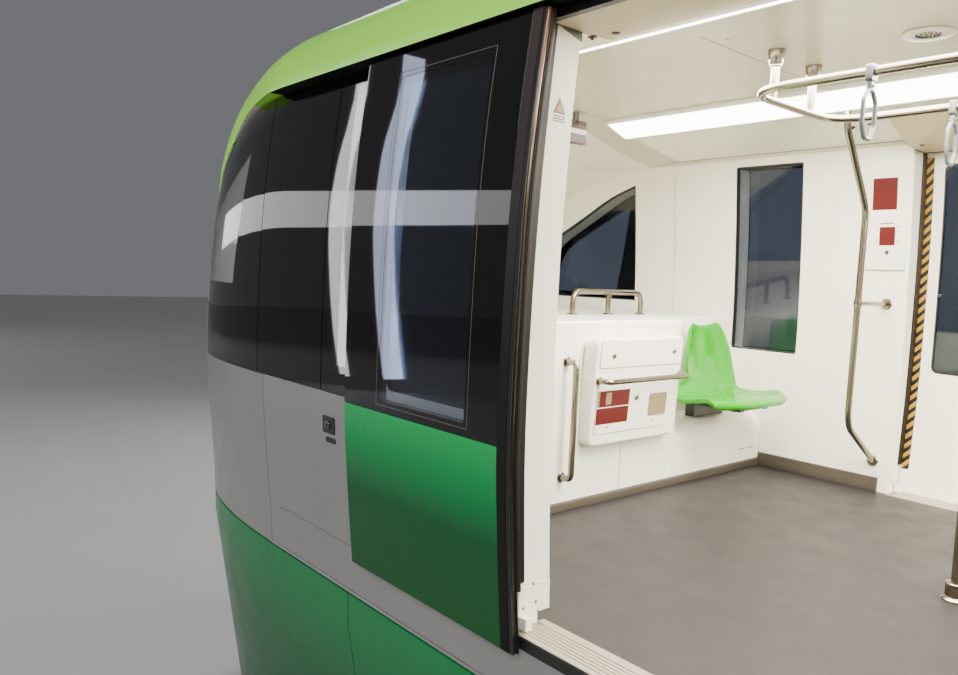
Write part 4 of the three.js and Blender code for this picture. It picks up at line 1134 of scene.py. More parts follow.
def leaf_edges():
    """Nosing, inner seal, groove and bronze profile along the leaf's closing edge, the profile with a painted
    reflection near its top.
    """
    end = NOSING - 0.0005
    strips = {
        "nosing": (NOSING_RUBBER_PAINTED_LIGHT, LEAF_LOW_Z, LEAF_HIGH_Z, [
            (end, 0.001), (0.019, 0.001), (0.019, -0.004), (0.006, -0.004), (0.006, -0.019), (0.001, -0.021),
            (0.0, -0.0235), (0.004, -0.0265), (end, -0.0265),
        ]),
        "seal": (NOSING_RUBBER_PAINTED_LIGHT, SEAL_LOW_Z, LEAF_HIGH_Z - 0.003, [
            (0.0045, -0.0262), (0.001, -0.0285), (0.0, -0.034), (0.001, -0.041), (0.006, -0.0450),
            (0.014, -0.0455), (0.022, -0.0425), (NOSING - 0.001, -0.0425), (NOSING - 0.001, -0.0262),
        ]),
        "groove": (RUBBER, LEAF_LOW_Z, LEAF_HIGH_Z, [
            (0.0188, -0.0005), (0.0188, -0.005), (0.004, -0.005), (0.004, -0.0015), (0.006, -0.0005),
        ]),
        # Dark bronze strip, its copper tone near the top a painted reflection
        "bronze": (BRONZE_PAINTED_REFLECTION, SEAL_LOW_Z, LEAF_HIGH_Z - 0.002, [
            (0.0075, -0.0055), (0.004, -0.0055), (0.0012, -0.008), (0.0004, -0.012), (0.0012, -0.016),
            (0.004, -0.0186), (0.0075, -0.0186),
        ]),
    }
    return [
        paint(ribbon(name, section, leaf_half_width, low, high, 24), material)
        for name, (material, low, high, section) in strips.items()
    ]


def leaf_fittings():
    """Guide pads, round pull and hazard strip on the leaf's inner face."""
    parts = []
    for z0, z1 in ((0.424, 0.454), (2.329, 2.340)):
        depth = leaf_half_width(z0) - DOOR_SETBACK
        for start in (0.06, LEAF_LENGTH - 0.18):
            pad = block("pad", (start, depth + 0.0005, z0), (start + 0.12, depth + 0.02, z1))
            parts.append(paint(pad, DARK))
    knob = dot("knob", (0, 0, 0), 0.009, 0.008, "y", STEEL, 16)
    parts.append(moved(knob, (LEAF_WINDOW[1] - 0.012, leaf_half_width(1.56) + LEAF_BACK - 0.012, 1.56)))
    near = LEAF_LENGTH - 0.182
    strip = leaf_slab("hazard", near, near + 0.038, 0.59, 2.30, LEAF_BACK - 0.0012, LEAF_BACK + 0.001)
    return parts + [paint(strip, HAZARD)]


def dress_doors():
    """The eight leaves, each a shifted or mirrored copy of one model."""
    models = {
        "leaf": joined("leaf_model", leaf_panels() + leaf_edges() + leaf_fittings()),
        "leaf_panes": joined("leaf_panes_model", leaf_panes()),
    }
    for doorway, opening in LEAF_OPENINGS.items():
        end, side = doorway.split("_")
        for place, direction in (("fore", 1), ("aft", -1)):
            mirror = Matrix.Diagonal((direction, SIDES[side], 1, 1))
            shift = Matrix.Translation((DOORWAYS[end] + direction * opening, 0, 0)) @ mirror
            node = f"door_{doorway}_{place}"
            for kind, model in models.items():
                piece = copied(f"{kind}_{doorway}_{place}", model)
                piece.data.transform(shift)
                if shift.determinant() < 0:
                    piece.data.flip_normals()
                if kind == "leaf":
                    placed(piece, node, [node], bevel=0.0012)
                else:
                    placed(piece, node)
    for model in models.values():
        bpy.data.objects.remove(model)


# Doorway frames

PILLAR_INNER = [(0.46, 1.310), (0.842, 1.336), (1.3, 1.347), (1.685, 1.346), (2.05, 1.328), (2.295, 1.308)]
PILLAR_OUTER = [(0.46, 1.43), (0.592, 1.437), (1.05, 1.464), (1.5, 1.464), (1.888, 1.448), (2.324, 1.413)]
# Door lamp and header lock, from the doorway's front edge
LAMP_PLACE = (0.206, 1.020, 2.4195)
HEADER_LOCK_PLACE = (-0.069, 1.219, 2.3285)


def jamb_parts(edge, direction, flush):
    """Pillar, seal and kick plate at one edge of a doorway on the left, direction pointing into the wall."""
    def facing(name, low, high, inner, outer, near, far):
        front, back = edge + near * direction, edge + far * direction
        return swept(name, [
            [(front, inner(z), z), (back, inner(z), z), (back, outer(z), z), (front, outer(z), z)]
            for z in even(low, high, 20)
        ])

    def inner(z):
        return lining_half_width(z) + 0.0005 if flush else interpolated(PILLAR_INNER, z)

    def outer(z):
        return interpolated(PILLAR_OUTER, z)

    def behind(z):
        return max(lining_half_width(z), inner(z) + 0.004)

    top = DOORWAY_TOP_Z - 0.0045
    pillar = facing("pillar", 0.595, top, inner, outer, -0.006, 0.0)
    slant = [(1.2, 2.265), (1.5, 2.348), (1.5, 2.4), (1.2, 2.4)]
    cut(pillar, prism("slant", slant, "x", edge - 0.1, edge + 0.1))
    band = facing(
        "band", SEAL_LOW_Z, top, lambda z: outer(z) + 0.001, lambda z: wall_half_width(z) - 0.002,
        -0.012, 0.0,
    )
    front, y0, y1 = edge - 0.0075 * direction, inner(0.55) + 0.002, 1.455
    plate = swept("kick_plate", [
        [(front, y0, z_in), (edge, y0, z_in), (edge, y1, z_out), (front, y1, z_out)]
        for z_in, z_out in ((0.520, 0.503), (0.594, 0.612))
    ])
    near, far = sorted((edge - 0.04 * direction, edge - 0.004 * direction))
    bracket = block("bracket", (near, 1.424, 0.467), (far, 1.452, 0.506))
    parts = [paint(pillar, CREAM), paint(band, NOSING_RUBBER_PAINTED_LIGHT), paint(plate, CREAM), paint(bracket, WHITE)]
    if not flush:
        returned = facing("return", 0.50, 2.295, inner, behind, -0.0055, 0.055)
        # Olive grey plate in the corner between the pillar's slanted top and the header: painted shade.
        corner = [(1.402, top + 0.001), (1.300, top + 0.001), (1.300, 2.297), (1.308, 2.297)]
        ends = sorted((edge - 0.0058 * direction, edge))
        parts += [paint(returned, CREAM), paint(prism("corner", corner, "x", *ends), OLIVE_JOINT_AND_SHADE)]
    for y, z in ((1.395, 0.600), (1.380, 0.537), (1.435, 0.528)):
        screw = dot("screw", (0, 0, 0), 0.0055, 0.0025, "x", GREY, 14)
        parts.append(moved(facing_cabin(screw) if direction > 0 else screw, (front, y, z)))
    return parts


def sill_parts(centre):
    """Ribbed threshold plate with a rubber edge below it."""
    x0, x1 = centre - DOORWAY_HALF + 0.002, centre + DOORWAY_HALF - 0.002
    outline = [(1.330, 0.4602), (1.4755, 0.4602), (1.4755, 0.4635)]
    for i in range(6):
        y = 1.466 - i * 0.0165
        outline += [(y, 0.4665), (y - 0.0105, 0.4665), (y - 0.0115, 0.4625)]
        outline += [(y - 0.0145, 0.4625), (y - 0.0155, 0.4665)]
    outline += [(1.352, 0.4668), (1.332, 0.4655)]
    plate = prism("threshold", outline, "x", x0, x1)
    edge = prism("edge", [(1.4735, 0.424), (1.4795, 0.424), (1.4795, 0.459), (1.4735, 0.459)], "x", x0, x1)
    return [paint(plate, ALUMINIUM), paint(edge, RUBBER)]


def header_parts(centre):
    """Header over a doorway: the panel towards the ceiling, outside gutter strip, lock and door lamp."""
    x0, x1 = centre - DOORWAY_HALF, centre + DOORWAY_HALF
    top = DOORWAY_TOP_Z - 0.0005
    outline = [
        (1.432, top), (1.432, top - 0.003), (1.30, top - 0.003), (1.158, 2.334), (0.90, 2.4355),
        (0.90, 2.4375), (1.16, 2.392), (1.289, 2.368), (1.292, top - 0.001),
    ]
    soffit = prism("soffit", outline, "x", x0 + 0.010, x1 - 0.010)
    strip = block("strip", (x0 + 0.002, 1.4325, 2.3205), (x1 - 0.002, 1.4575, top))
    parts = [paint(soffit, HEADER_CREAM), paint(strip, RUBBER)]
    edge = [
        (1.405, 2.3223), (1.30, 2.3223), (1.158, 2.3338), (1.158, 2.3318), (1.30, 2.3205), (1.405, 2.3205),
    ]
    for low in (x0 + 0.0085, x1 - 0.0105):
        parts.append(paint(prism("edge", edge, "x", low, low + 0.002), OLIVE_JOINT_AND_SHADE))
    lamp = dot("lamp", (0, 0, 0), 0.009, -0.014, "z", RED_LAMP, 20)
    profile = [(0, 0), (0.019, 0), (0.017, -0.006), (0.0115, -0.006), (0.0115, -0.003), (0, -0.003)]
    cup = paint(lathe("cup", profile, (0, 0, 0), "z", 24), DARK)
    lock = dot("lock", (0, 0, 0), 0.013, -0.004, "z", DARK, 20)
    for obj, (x, y, z) in ((lamp, LAMP_PLACE), (cup, LAMP_PLACE), (lock, HEADER_LOCK_PLACE)):
        parts.append(hung(obj, (x1 + x, y, z)))
    return parts


def blank_warning_sign(x=3.3938, y=1.385):
    """Triangle with a yellow middle over three lines, all without writing."""
    triangle = prism("triangle", [(y - 0.026, 2.065), (y + 0.026, 2.065), (y, 2.111)], "x", x - 0.0013, x)
    corners = [(y - 0.0155, 2.0705), (y + 0.0155, 2.0705), (y, 2.098)]
    middle = prism("middle", corners, "x", x - 0.002, x - 0.0012)
    parts = [paint(triangle, ORANGE_BROWN), paint(middle, YELLOW)]
    for z in (2.0555, 2.048, 2.0405):
        line = block("line", (x - 0.0013, y - 0.026, z), (x, y + 0.026, z + 0.003))
        parts.append(paint(line, ORANGE_BROWN))
    return joined("blank_warning_sign", parts)


def dress_doorways():
    for end, centre in DOORWAYS.items():
        for side in SIDES:
            parts = []
            for direction in (1, -1):
                parts += jamb_parts(centre + direction * DOORWAY_HALF, direction, side == "right")
            parts += sill_parts(centre) + header_parts(centre)
            doorway = joined(f"doorway_{end}_{side}", parts)
            placed(flipped(doorway) if side == "right" else doorway, smooth=30, bevel=0.001)
    placed(blank_warning_sign())


# Cabin lining details

def wall_runs():
    """Stretches of side wall between the doorways."""
    front, rear, half = DOORWAYS["front"], DOORWAYS["rear"], DOORWAY_HALF + 0.06
    return [(INSIDE_REAR_X + 0.01, rear - half), (rear + half, front - half), (front + half, 4.18)]


def dress_lining():
    """Skirting, panel seams and the line under the cove on both walls, that line being a joint and a painted
    shadow line.
    """
    skirting = [
        (1.3595, 0.4605), (1.347, 0.4605), (1.345, 0.466), (1.352, 0.500), (1.352, 0.536), (1.3595, 0.540),
    ]
    cove = [(1.284, 2.3725), (1.2895, 2.3705), (1.2895, 2.3755), (1.284, 2.3775)]
    for side, sign in SIDES.items():
        parts = [paint(prism("skirting", skirting, "x", x0, x1), GREY_TRIM) for x0, x1 in wall_runs()]
        for x in (4.8945, 1.5, -0.35, -2.2, -4.45, -5.4):
            seam = [(x - 0.0012, -0.001), (x + 0.0012, -0.001), (x + 0.0012, 0.003), (x - 0.0012, 0.003)]
            parts.append(paint(ribbon("seam", seam, lining_half_width, 0.545, 2.30, 20), GREY))
        # Grey line under the cove's lower edge: a joint, and a painted shadow line along that edge.
        parts.append(paint(prism("cove_line", cove, "x", INSIDE_REAR_X, 5.0), GREY))
        lining = joined(f"lining_trim_{side}", parts)
        placed(lining if sign > 0 else flipped(lining))


def wall_plate(name, x0, x1, z0, z1, proud, material, radius=0.004, behind=0.0):
    """Plate on the right-hand lining."""
    patch = layer(name, "cabin", -0.001 + behind, proud, rounded(x0, x1, z0, z1, radius), -1)
    return paint(patch, material)


def on_wall(x, z, out):
    return (x, -(lining_half_width(z) - out), z)


def dress_wall_plates():
    """Blank plates and the emergency release on the right-hand wall."""
    red = wall_plate("blank_red_plate", 3.471, 3.598, 2.015, 2.185, 0.0022, RED, 0.003)
    placed(red, bevel=0.0005)
    parts = [
        wall_plate("cover", 3.415, 3.621, 1.690, 1.985, 0.012, WHITE, 0.008),
        wall_plate("square", 3.469, 3.550, 1.823, 1.922, 0.0145, RED, 0.006, 0.012),
        wall_plate("label", 3.479, 3.547, 1.937, 1.944, 0.0135, GREY, 0.001, 0.012),
    ]
    for x in (3.456, 3.566):
        for z in (1.844, 1.921):
            parts.append(wall_plate("mark", x - 0.006, x + 0.006, z, z + 0.004, 0.0135, RED, 0.001, 0.012))
    parts.append(moved(dot("lock", (0, 0, 0), 0.011, 0.004, "y", STEEL, 20), on_wall(3.506, 1.785, 0.013)))
    parts.append(moved(dot("hole", (0, 0, 0), 0.004, 0.0012, "y", DARK, 12), on_wall(3.506, 1.785, 0.0172)))
    placed(joined("emergency_release", parts), bevel=0.001)


# Light housings, their glowing faces and the cove panels, as (half width, height) sections
LIGHT_HOUSINGS = {
    "left": [
        (0.655, 2.5115), (0.655, 2.504), (0.70, 2.4985), (0.838, 2.4475), (0.87, 2.4455), (0.905, 2.4455),
        (0.90, 2.4475),
    ],
    "right": [
        (0.50, 2.5175), (0.50, 2.505), (0.525, 2.497), (0.706, 2.437), (0.740, 2.435), (0.785, 2.446),
        (0.79, 2.474),
    ],
}
LIGHT_FACES = {
    "left": [(0.706, 2.4965), (0.828, 2.4515), (0.8285, 2.4455), (0.7065, 2.4895)],
    "right": [(0.530, 2.4945), (0.698, 2.4385), (0.6975, 2.4365), (0.5295, 2.4925)],
}
COVE = [(0.795, 2.4585), (0.80, 2.4635), (0.93, 2.439), (1.279, 2.3760), (1.279, 2.3725), (0.93, 2.4345)]
COVE_JOINTS = [-5.6, -4.4, -3.2, -2.0, -0.8, 0.4, 1.6, 3.385, 4.86]
SPEAKERS = {"front": 2.89, "middle": -0.4, "rear": -3.6}


def along_car(name, section, sign, x0, x1, material):
    """Section of the left side drawn along the car, on either side."""
    return paint(prism(name, [(sign * y, z) for y, z in section], "x", x0, x1), material)


def cove_panels(sign):
    """Cove panels of one side with a lock each."""
    panels = []
    for x0, x1 in zip(COVE_JOINTS, COVE_JOINTS[1:]):
        panels.append(along_car("cove", COVE, sign, x0 + 0.003, x1, CREAM))
        lock = dot("lock", (0, 0, 0), 0.012, -0.004, "z", DARK, 16)
        panels.append(hung(lock, (x0 + 0.126, sign * 1.007, 2.4215)))
    return panels


def dress_lights():
    """Light housing, its glowing face and the cove panels on both sides."""
    for side, sign in SIDES.items():
        housing = along_car(f"light_housing_{side}", LIGHT_HOUSINGS[side], sign, -5.6, 4.86, WHITE)
        placed(housing, bevel=0.002)
        placed(along_car(f"light_strip_{side}", LIGHT_FACES[side], sign, -5.58, 4.84, LIGHT_STRIP))
        placed(joined(f"cove_panels_{side}", cove_panels(sign)), bevel=0.0008)


def dress_ceiling_joints():
    parts = []
    for x in even(-5.4, 4.8, 9):
        parts.append(paint(block("joint", (x - 0.001, -0.498, 2.5171), (x + 0.001, 0.498, 2.5178)), GREY))
        for y in (-0.4, 0.4):
            screw = dot("screw", (0, 0, 0), 0.006, -0.001, "z", GREY, 12)
            parts.append(hung(screw, (x - 0.06, y, 2.5174)))
    placed(joined("ceiling_joints", parts))


def dress_speakers():
    """Round grilles with three rings of holes."""
    rim = [(0.045, 0), (0.085, 0), (0.088, -0.004), (0.080, -0.008), (0.045, -0.006)]
    for name, x in SPEAKERS.items():
        grille = [paint(hung(lathe("ring", rim, (x, 0, 2.5175), "z", 40)), WHITE)]
        for radius, count in ((0.012, 6), (0.026, 12), (0.040, 18)):
            for a in around(count):
                hole = dot("hole", (0, 0, 0), 0.0035, -0.002, "z", DARK, 8)
                grille.append(hung(hole, (x + radius * math.cos(a), radius * math.sin(a), 2.5165)))
        placed(joined(f"speaker_{name}", grille))


def dress_display():
    """Blank display on a stem at the front of the ceiling."""
    display = slab("display", (4.80, -0.295, 2.340), (4.84, -0.155, 2.468), 0.006, "x", DISPLAY)
    band = block("band", (4.796, -0.290, 2.392), (4.801, -0.160, 2.420))
    stem = block("stem", (4.81, -0.24, 2.467), (4.83, -0.205, 2.5175))
    placed(joined("blank_display", [display, paint(band, WHITE), paint(stem, GREY)]), bevel=0.002)


# Console at the front

CONSOLE_FRONT_X = 4.1825
CONSOLE_BOX_X = 4.1
# Panels of the console box: outline across the car, front and back, material, bevel width and segments
CONSOLE_PANELS = {
    "console_box": ((-0.355, 0.330, 0.766, 1.293, 0.045), 4.1, 4.19, WHITE, 0.016, 4),
    "console_cover": ((-0.338, 0.306, 1.150, 1.283, 0.012), 4.0955, 4.104, WHITE, 0.003, 3),
    "console_door": ((-0.285, 0.306, 0.828, 1.124, 0.02), 4.0965, 4.104, WHITE, 0.0025, 3),
    "console_shadow_gap": ((-0.2875, 0.3085, 0.8255, 1.1265, 0.022), 4.0992, 4.1035, SHADOW_GREY, 0.0, 2),
    "console_cover_gap": ((-0.3405, 0.3085, 1.1475, 1.284, 0.014), 4.0992, 4.1035, SHADOW_GREY, 0.0, 2),
}


def flange(centre, axis, radius=0.03, height=0.008):
    profile = [(0, 0), (radius, 0), (radius, height * 0.5), (radius * 0.85, height), (0, height)]
    return paint(lathe("flange", profile, centre, axis, 28), STEEL)


def console_box_x(z):
    """Front face of the console box, which leans towards the cabin at the top."""
    return 4.116 - 0.032 * (z - 0.774) / 0.519


def leaned(obj):
    """Moves a part of the console box with the lean of its front face."""
    for vertex in obj.data.vertices:
        vertex.co.x += console_box_x(vertex.co.z) - CONSOLE_BOX_X
    return obj


def dress_console_base():
    """Deck with its plinth in the cabin's shape, and the hump over the bogie."""
    deck = copied("console_deck", tool("cabin", 0.006))
    deck_outline = [
        (4.46, FLOOR_Z), (4.46, 1.34), (4.466, 1.355), (4.482, 1.362), (5.7, 1.362), (6.7, 1.09),
        (6.7, FLOOR_Z),
    ]
    outline = prism("deck_outline", deck_outline, "y", -2, 2)
    plinth_edge = arc((4.284, 0.69), 0.1, 90, 180, 9)
    plinth = prism("plinth", [(4.47, FLOOR_Z), (4.47, 0.79), *plinth_edge, (4.184, FLOOR_Z)], "y", -2, 2)
    within(deck, merged(outline, plinth))
    cut(deck, block("well", (4.205, -0.462, 0.4), (5.56, 0.60, 1.345)))
    placed(paint(deck, WHITE), replaces=["front_console"], smooth=30, bevel=0.006)

    radius = 0.035
    left_corner = arc((CONSOLE_FRONT_X + radius, 0.64 - radius), radius, 90, 180, 6)
    right_corner = arc((CONSOLE_FRONT_X + radius, -0.482 + radius), radius, 180, 270, 6)
    hump_outline = [(4.475, 0.64), *left_corner, *right_corner, (4.475, -0.482)]
    hump = prism("console_hump", hump_outline, "z", FLOOR_Z + 0.001, 1.37)
    placed(paint(hump, WHITE), smooth=40, bevel=0.014, segments=3)


def dress_console_box():
    """Leaning box, its cover and its door, each with a dark gap round it."""
    for name, (outline, front, back, material, bevel, segments) in CONSOLE_PANELS.items():
        panel = prism(name, rounded(*outline), "x", front, back)
        placed(paint(leaned(panel), material), smooth=40, bevel=bevel, segments=segments)


def dress_console_labels():
    """Blank labels and a ring on the door of the box."""
    labels = []
    for y0, y1, z0, z1, front, material in (
        (0.062, 0.285, 0.961, 1.040, 4.0953, RED), (0.286, 0.302, 0.961, 1.040, 4.0953, BEIGE),
        (0.062, 0.302, 0.876, 0.956, 4.0953, RED), (0.200, 0.240, 0.972, 1.030, 4.0948, BEIGE),
    ):
        labels.append(paint(block("plate", (front, y0, z0), (4.0966, y1, z1)), material))
    frame_ring = prism("ring", rounded(-0.246, -0.098, 0.887, 1.005, 0.018), "x", 4.0945, 4.0966)
    cut(frame_ring, prism("hole", rounded(-0.238, -0.106, 0.895, 0.997, 0.014), "x", 4.0, 4.2))
    beige = prism("beige", rounded(-0.2385, -0.1055, 0.8945, 0.9975, 0.014), "x", 4.0961, 4.0967)
    labels += [paint(frame_ring, SHADOW_GREY), paint(beige, BEIGE)]
    placed(leaned(joined("console_blank_labels", labels)))


def dress_console_locks():
    fittings = []
    for y, z, radius in ((0.214, 1.208, 0.013), (-0.266, 1.216, 0.013), (0.007, 0.992, 0.014)):
        lock = facing_cabin(dot("lock", (0, 0, 0), radius, 0.006, "x", STEEL, 24))
        pin = facing_cabin(dot("pin", (0, 0, 0), radius * 0.45, 0.008, "x", DARK, 12))
        fittings += [moved(lock, (4.0952, y, z)), moved(pin, (4.0952, y, z))]
    for y, z in ((0.213, 0.860), (-0.146, 0.865)):
        screw = facing_cabin(dot("screw", (0, 0, 0), 0.006, 0.002, "x", GREY, 14))
        fittings.append(moved(screw, (4.0962, y, z)))
    placed(leaned(joined("console_locks", fittings)))


def bar_on_console(name, x, ends, stand, radius, bend, flange_radius):
    """Grab bar between two (y, z) ends, standing off the console."""
    near, far = ends
    route = [(x, *near), (x - stand, *near), (x - stand, *far), (x, *far)]
    bar = paint(tube(name, route, radius, bend, 18), STEEL)
    flanges = [
        moved(facing_cabin(flange((0, 0, 0), "x", flange_radius, 0.007)), (x, *end)) for end in ends
    ]
    placed(joined(name, [bar, *flanges]))


def dress_console_bars():
    height = 1.092
    ends = ((0.302, height), (-0.331, height))
    bar_on_console("console_grab_bar", console_box_x(height), ends, 0.062, 0.0135, 0.045, 0.021)
    ends = ((0.437, 1.180), (0.437, 0.627))
    bar_on_console("console_handle", CONSOLE_FRONT_X, ends, 0.063, 0.015, 0.07, 0.026)


def dress_console_trim():
    """Seams, skirting, slots and a screw on the plinth."""
    seams = [
        block("seam", (4.1815, 0.0015, 0.505), (4.1855, 0.0045, 0.775)),
        block("seam", (4.1815, 0.56, 0.505), (4.1855, 0.5625, 1.33)),
    ]
    placed(joined("console_seams", [paint(seam, GREY) for seam in seams]))
    base = [
        (4.1835, 0.4605), (4.171, 0.4605), (4.169, 0.466), (4.176, 0.494), (4.176, 0.503), (4.1835, 0.505),
    ]
    strip = paint(prism("console_skirting", base, "y", -1.352, 1.352), GREY_TRIM)
    line = paint(block("line", (4.1752, -1.352, 0.496), (4.1765, 1.352, 0.500)), GREY)
    placed(joined("console_skirting", [strip, line]), bevel=0.0008)
    slots = []
    for y in (-1.16, -1.26):
        slot = block("slot", (CONSOLE_FRONT_X, y - 0.035, 0.577), (4.186, y + 0.035, 0.583))
        slots.append(paint(slot, GREY))
    screw = facing_cabin(dot("screw", (0, 0, 0), 0.008, 0.004, "x", GREY, 14))
    slots.append(moved(screw, (4.2, -1.13, 0.735)))
    placed(joined("plinth_slots", slots))


def dress_hoops():
    """Grab hoops with a middle leg on the console's deck."""
    x, base, top = 4.733, 1.362, 1.497
    y0, y1 = 0.183, 0.805
    middle = (y0 + y1) / 2
    for side, sign in SIDES.items():
        loop = tube("loop", [(x, y0, base), (x, y0, top), (x, y1, top), (x, y1, base)], 0.016, 0.07, 18)
        leg = tube("leg", [(x, middle, base), (x, middle, top)], 0.0155, 0.0, 18)
        flanges = [flange((x, y, base), "z", 0.032, 0.009) for y in (y0, middle, y1)]
        hoop = joined(f"console_hoop_piece_{side}", [paint(loop, STEEL), paint(leg, STEEL), *flanges])
        placed(hoop if sign > 0 else flipped(hoop), replaces=[f"console_hoop_{side}"])


# Seats

SEAT_PROFILE = [
    (0.004, 0.452), (0.0, 0.474), (0.022, 0.488), (0.09, 0.476), (0.18, 0.464), (0.27, 0.466), (0.325, 0.486),
    (0.352, 0.545), (0.378, 0.640), (0.400, 0.760), (0.414, 0.830), (0.418, 0.852), (0.427, 0.862),
]


def seat_half_width(z, from_tip, from_top):
    """Half the shell's width at a height, drawn in towards both ends of the sheet."""
    half = 0.236 if z < 0.60 else 0.236 - 0.088 * min(1, (z - 0.60) / 0.262) ** 1.6
    half *= min(1.0, (1 - max(0.0, 1 - from_tip / 0.07) ** 2.6) ** 0.5 * 0.25 + 0.75)
    half *= min(1.0, (1 - max(0.0, 1 - from_top / 0.05) ** 2.6) ** 0.5 * 0.22 + 0.78)
    return half


def seat_section(z, dish):
    """Sheet's lift at each share of the half width: across its face, round the rim and back below."""
    across = even(-1, 1, 29)
    face = []
    for t in across:
        lift = dish * abs(t) ** 2.6
        if z > 0.60:
            lift += 0.006 * math.cos(2 * math.pi * t) * math.sin(math.pi * min(1, (z - 0.60) / 0.26))
        face.append((t, lift))
    rim = [(1.0, dish - 0.020), (0.985, dish - 0.020), (0.975, dish - 0.006)]
    below = [(t, dish * abs(t) ** 2.6 - 0.006) for t in reversed(across[1:-1])]
    return face + rim + below + [(-t, lift) for t, lift in reversed(rim)]


def seat_shell(widened=0.0, reach=0.0):
    """Moulded shell that faces -X, tip at X 0, floor at Z 0: a dished sheet with a turned-down rim.

    Only the pan is widened towards +Y and reaches forward.
    """
    lengths = [0.0]
    for (x0, z0), (x1, z1) in zip(SEAT_PROFILE, SEAT_PROFILE[1:]):
        lengths.append(lengths[-1] + math.hypot(x1 - x0, z1 - z0))
    depth = [(s, p[0]) for s, p in zip(lengths, SEAT_PROFILE)]
    height = [(s, p[1]) for s, p in zip(lengths, SEAT_PROFILE)]
    total = lengths[-1]
    rings = []
    for s in even(0, total, 64):
        x, z = interpolated(depth, s), interpolated(height, s)
        before, after = max(s - 0.004, 0), min(s + 0.004, total)
        dx = interpolated(depth, after) - interpolated(depth, before)
        dz = interpolated(height, after) - interpolated(height, before)
        size = math.hypot(dx, dz)
        normal = (-dz / size, dx / size)
        half = seat_half_width(z, s, total - s)
        pan = min(1.0, max(0.0, (0.56 - z) / 0.06))
        forward = pan * (1 - x / 0.34)
        points = []
        for t, lift in seat_section(z, 0.020 if s / total < 0.5 else 0.026):
            y = t * half + max(0.0, t) * widened * pan
            curve = reach * forward * (1 - 1.2 * abs(t) ** 3)
            points.append((x + normal[0] * lift - curve, y, z + normal[1] * lift))
        rings.append(points)
    return paint(swept("shell", rings), SEAT)


def seat_parts(widened=0.0, reach=0.0):
    """One seat: shell, ribs and carrying arms."""
    parts = [seat_shell(widened, reach)]
    for y in (-0.13, 0.13):
        parts.append(paint(block("arm", (0.05, y - 0.022, 0.404), (0.402, y + 0.022, 0.446)), DARK))
    parts.append(paint(block("cross", (0.06, -0.17, 0.406), (0.10, 0.17, 0.44)), DARK))
    parts.append(paint(block("riser", (0.342, -0.152, 0.331), (0.402, 0.152, 0.43)), DARK))
    rib = [(0.012, 0.462), (0.03, 0.436), (0.30, 0.44), (0.30, 0.457), (0.15, 0.455)]
    for y in even(-0.2, 0.2, 6):
        parts.append(paint(prism("rib", rib, "y", y - 0.003, y + 0.003), SEAT))
    return parts


CORNER_SEAT_TIP_X = 3.944
CORNER_SEAT_Y = {"left": 1.045, "right": -0.94}
# Right corner seat: how far its pan is widened towards the console, and how far it reaches forward
CORNER_SEAT_PAN = (0.27, 0.085)
BENCH = {"tip": 0.905, "rear": -1.9, "seats": 6, "pitch": 0.5}


def place_corner_seat(side, widening=()):
    """Single seat that faces the doorway from the console's corner."""
    seat = joined(f"corner_seat_piece_{side}", seat_parts(*widening))
    moved(seat, (CORNER_SEAT_TIP_X, CORNER_SEAT_Y[side], FLOOR_Z))
    placed(seat, replaces=[f"corner_seat_{side}"], smooth=50)


def place_bench(side, sign, model):
    """Row of seats that face the middle, on a plinth along the wall."""
    rear, front = BENCH["rear"], BENCH["rear"] + BENCH["seats"] * BENCH["pitch"]
    turn = Matrix.Rotation(sign * math.pi / 2, 4, "Z")
    seats = []
    for i in range(BENCH["seats"]):
        seat = copied("seat", model)
        place = (rear + (i + 0.5) * BENCH["pitch"], sign * BENCH["tip"], FLOOR_Z - 0.0006)
        seat.data.transform(Matrix.Translation(place) @ turn)
        seats.append(seat)
    row = joined(f"bench_seats_{side}", seats)
    placed(row, replaces=[f"bench_{side}"], smooth=50)
    base, edge = FLOOR_Z + 0.001, arc((1.16, 0.69), 0.1, 90, 180, 9)
    outline = [(1.34, base), (1.34, 0.79), *edge, (1.06, base)]
    plinth = along_car(f"bench_plinth_{side}", outline, sign, rear, front, WHITE)
    placed(plinth, smooth=40, bevel=0.004)


def dress_seats():
    model = joined("seat_model", seat_parts())
    for side, sign in SIDES.items():
        place_corner_seat(side, CORNER_SEAT_PAN if sign < 0 else ())
        place_bench(side, sign, model)
    bpy.data.objects.remove(model)


# Rails, poles and straps

RAIL = {"z": 2.317, "y": 0.355, "front": 3.395, "rear": -4.0, "radius": 0.016}
RAIL_HANGERS = [3.395, 1.9, 0.4, -1.1, -2.6, -4.0]
# Where the first strap hangs on each side
STRAPS = {"left": 2.925, "right": 2.902, "pitch": 0.47, "count": 15}
POLES = {"front": (2.641, -0.029), "rear": (-3.3, 0.0)}


def hanger(x, y, z):
    """Post from the ceiling: cone flange, sleeve and taper to the rail."""
    top = CEILING_Z - 0.0005
    profile = [
        (0.0, top), (0.034, top), (0.034, top - 0.003), (0.025, top - 0.055), (0.0235, top - 0.058),
        (0.0235, top - 0.064), (0.017, top - 0.068), (0.0165, z + 0.055), (0.012, z + 0.016), (0.012, z),
        (0.0, z),
    ]
    return paint(lathe("hanger", profile, (x, y, 0), "z", 24), STEEL)


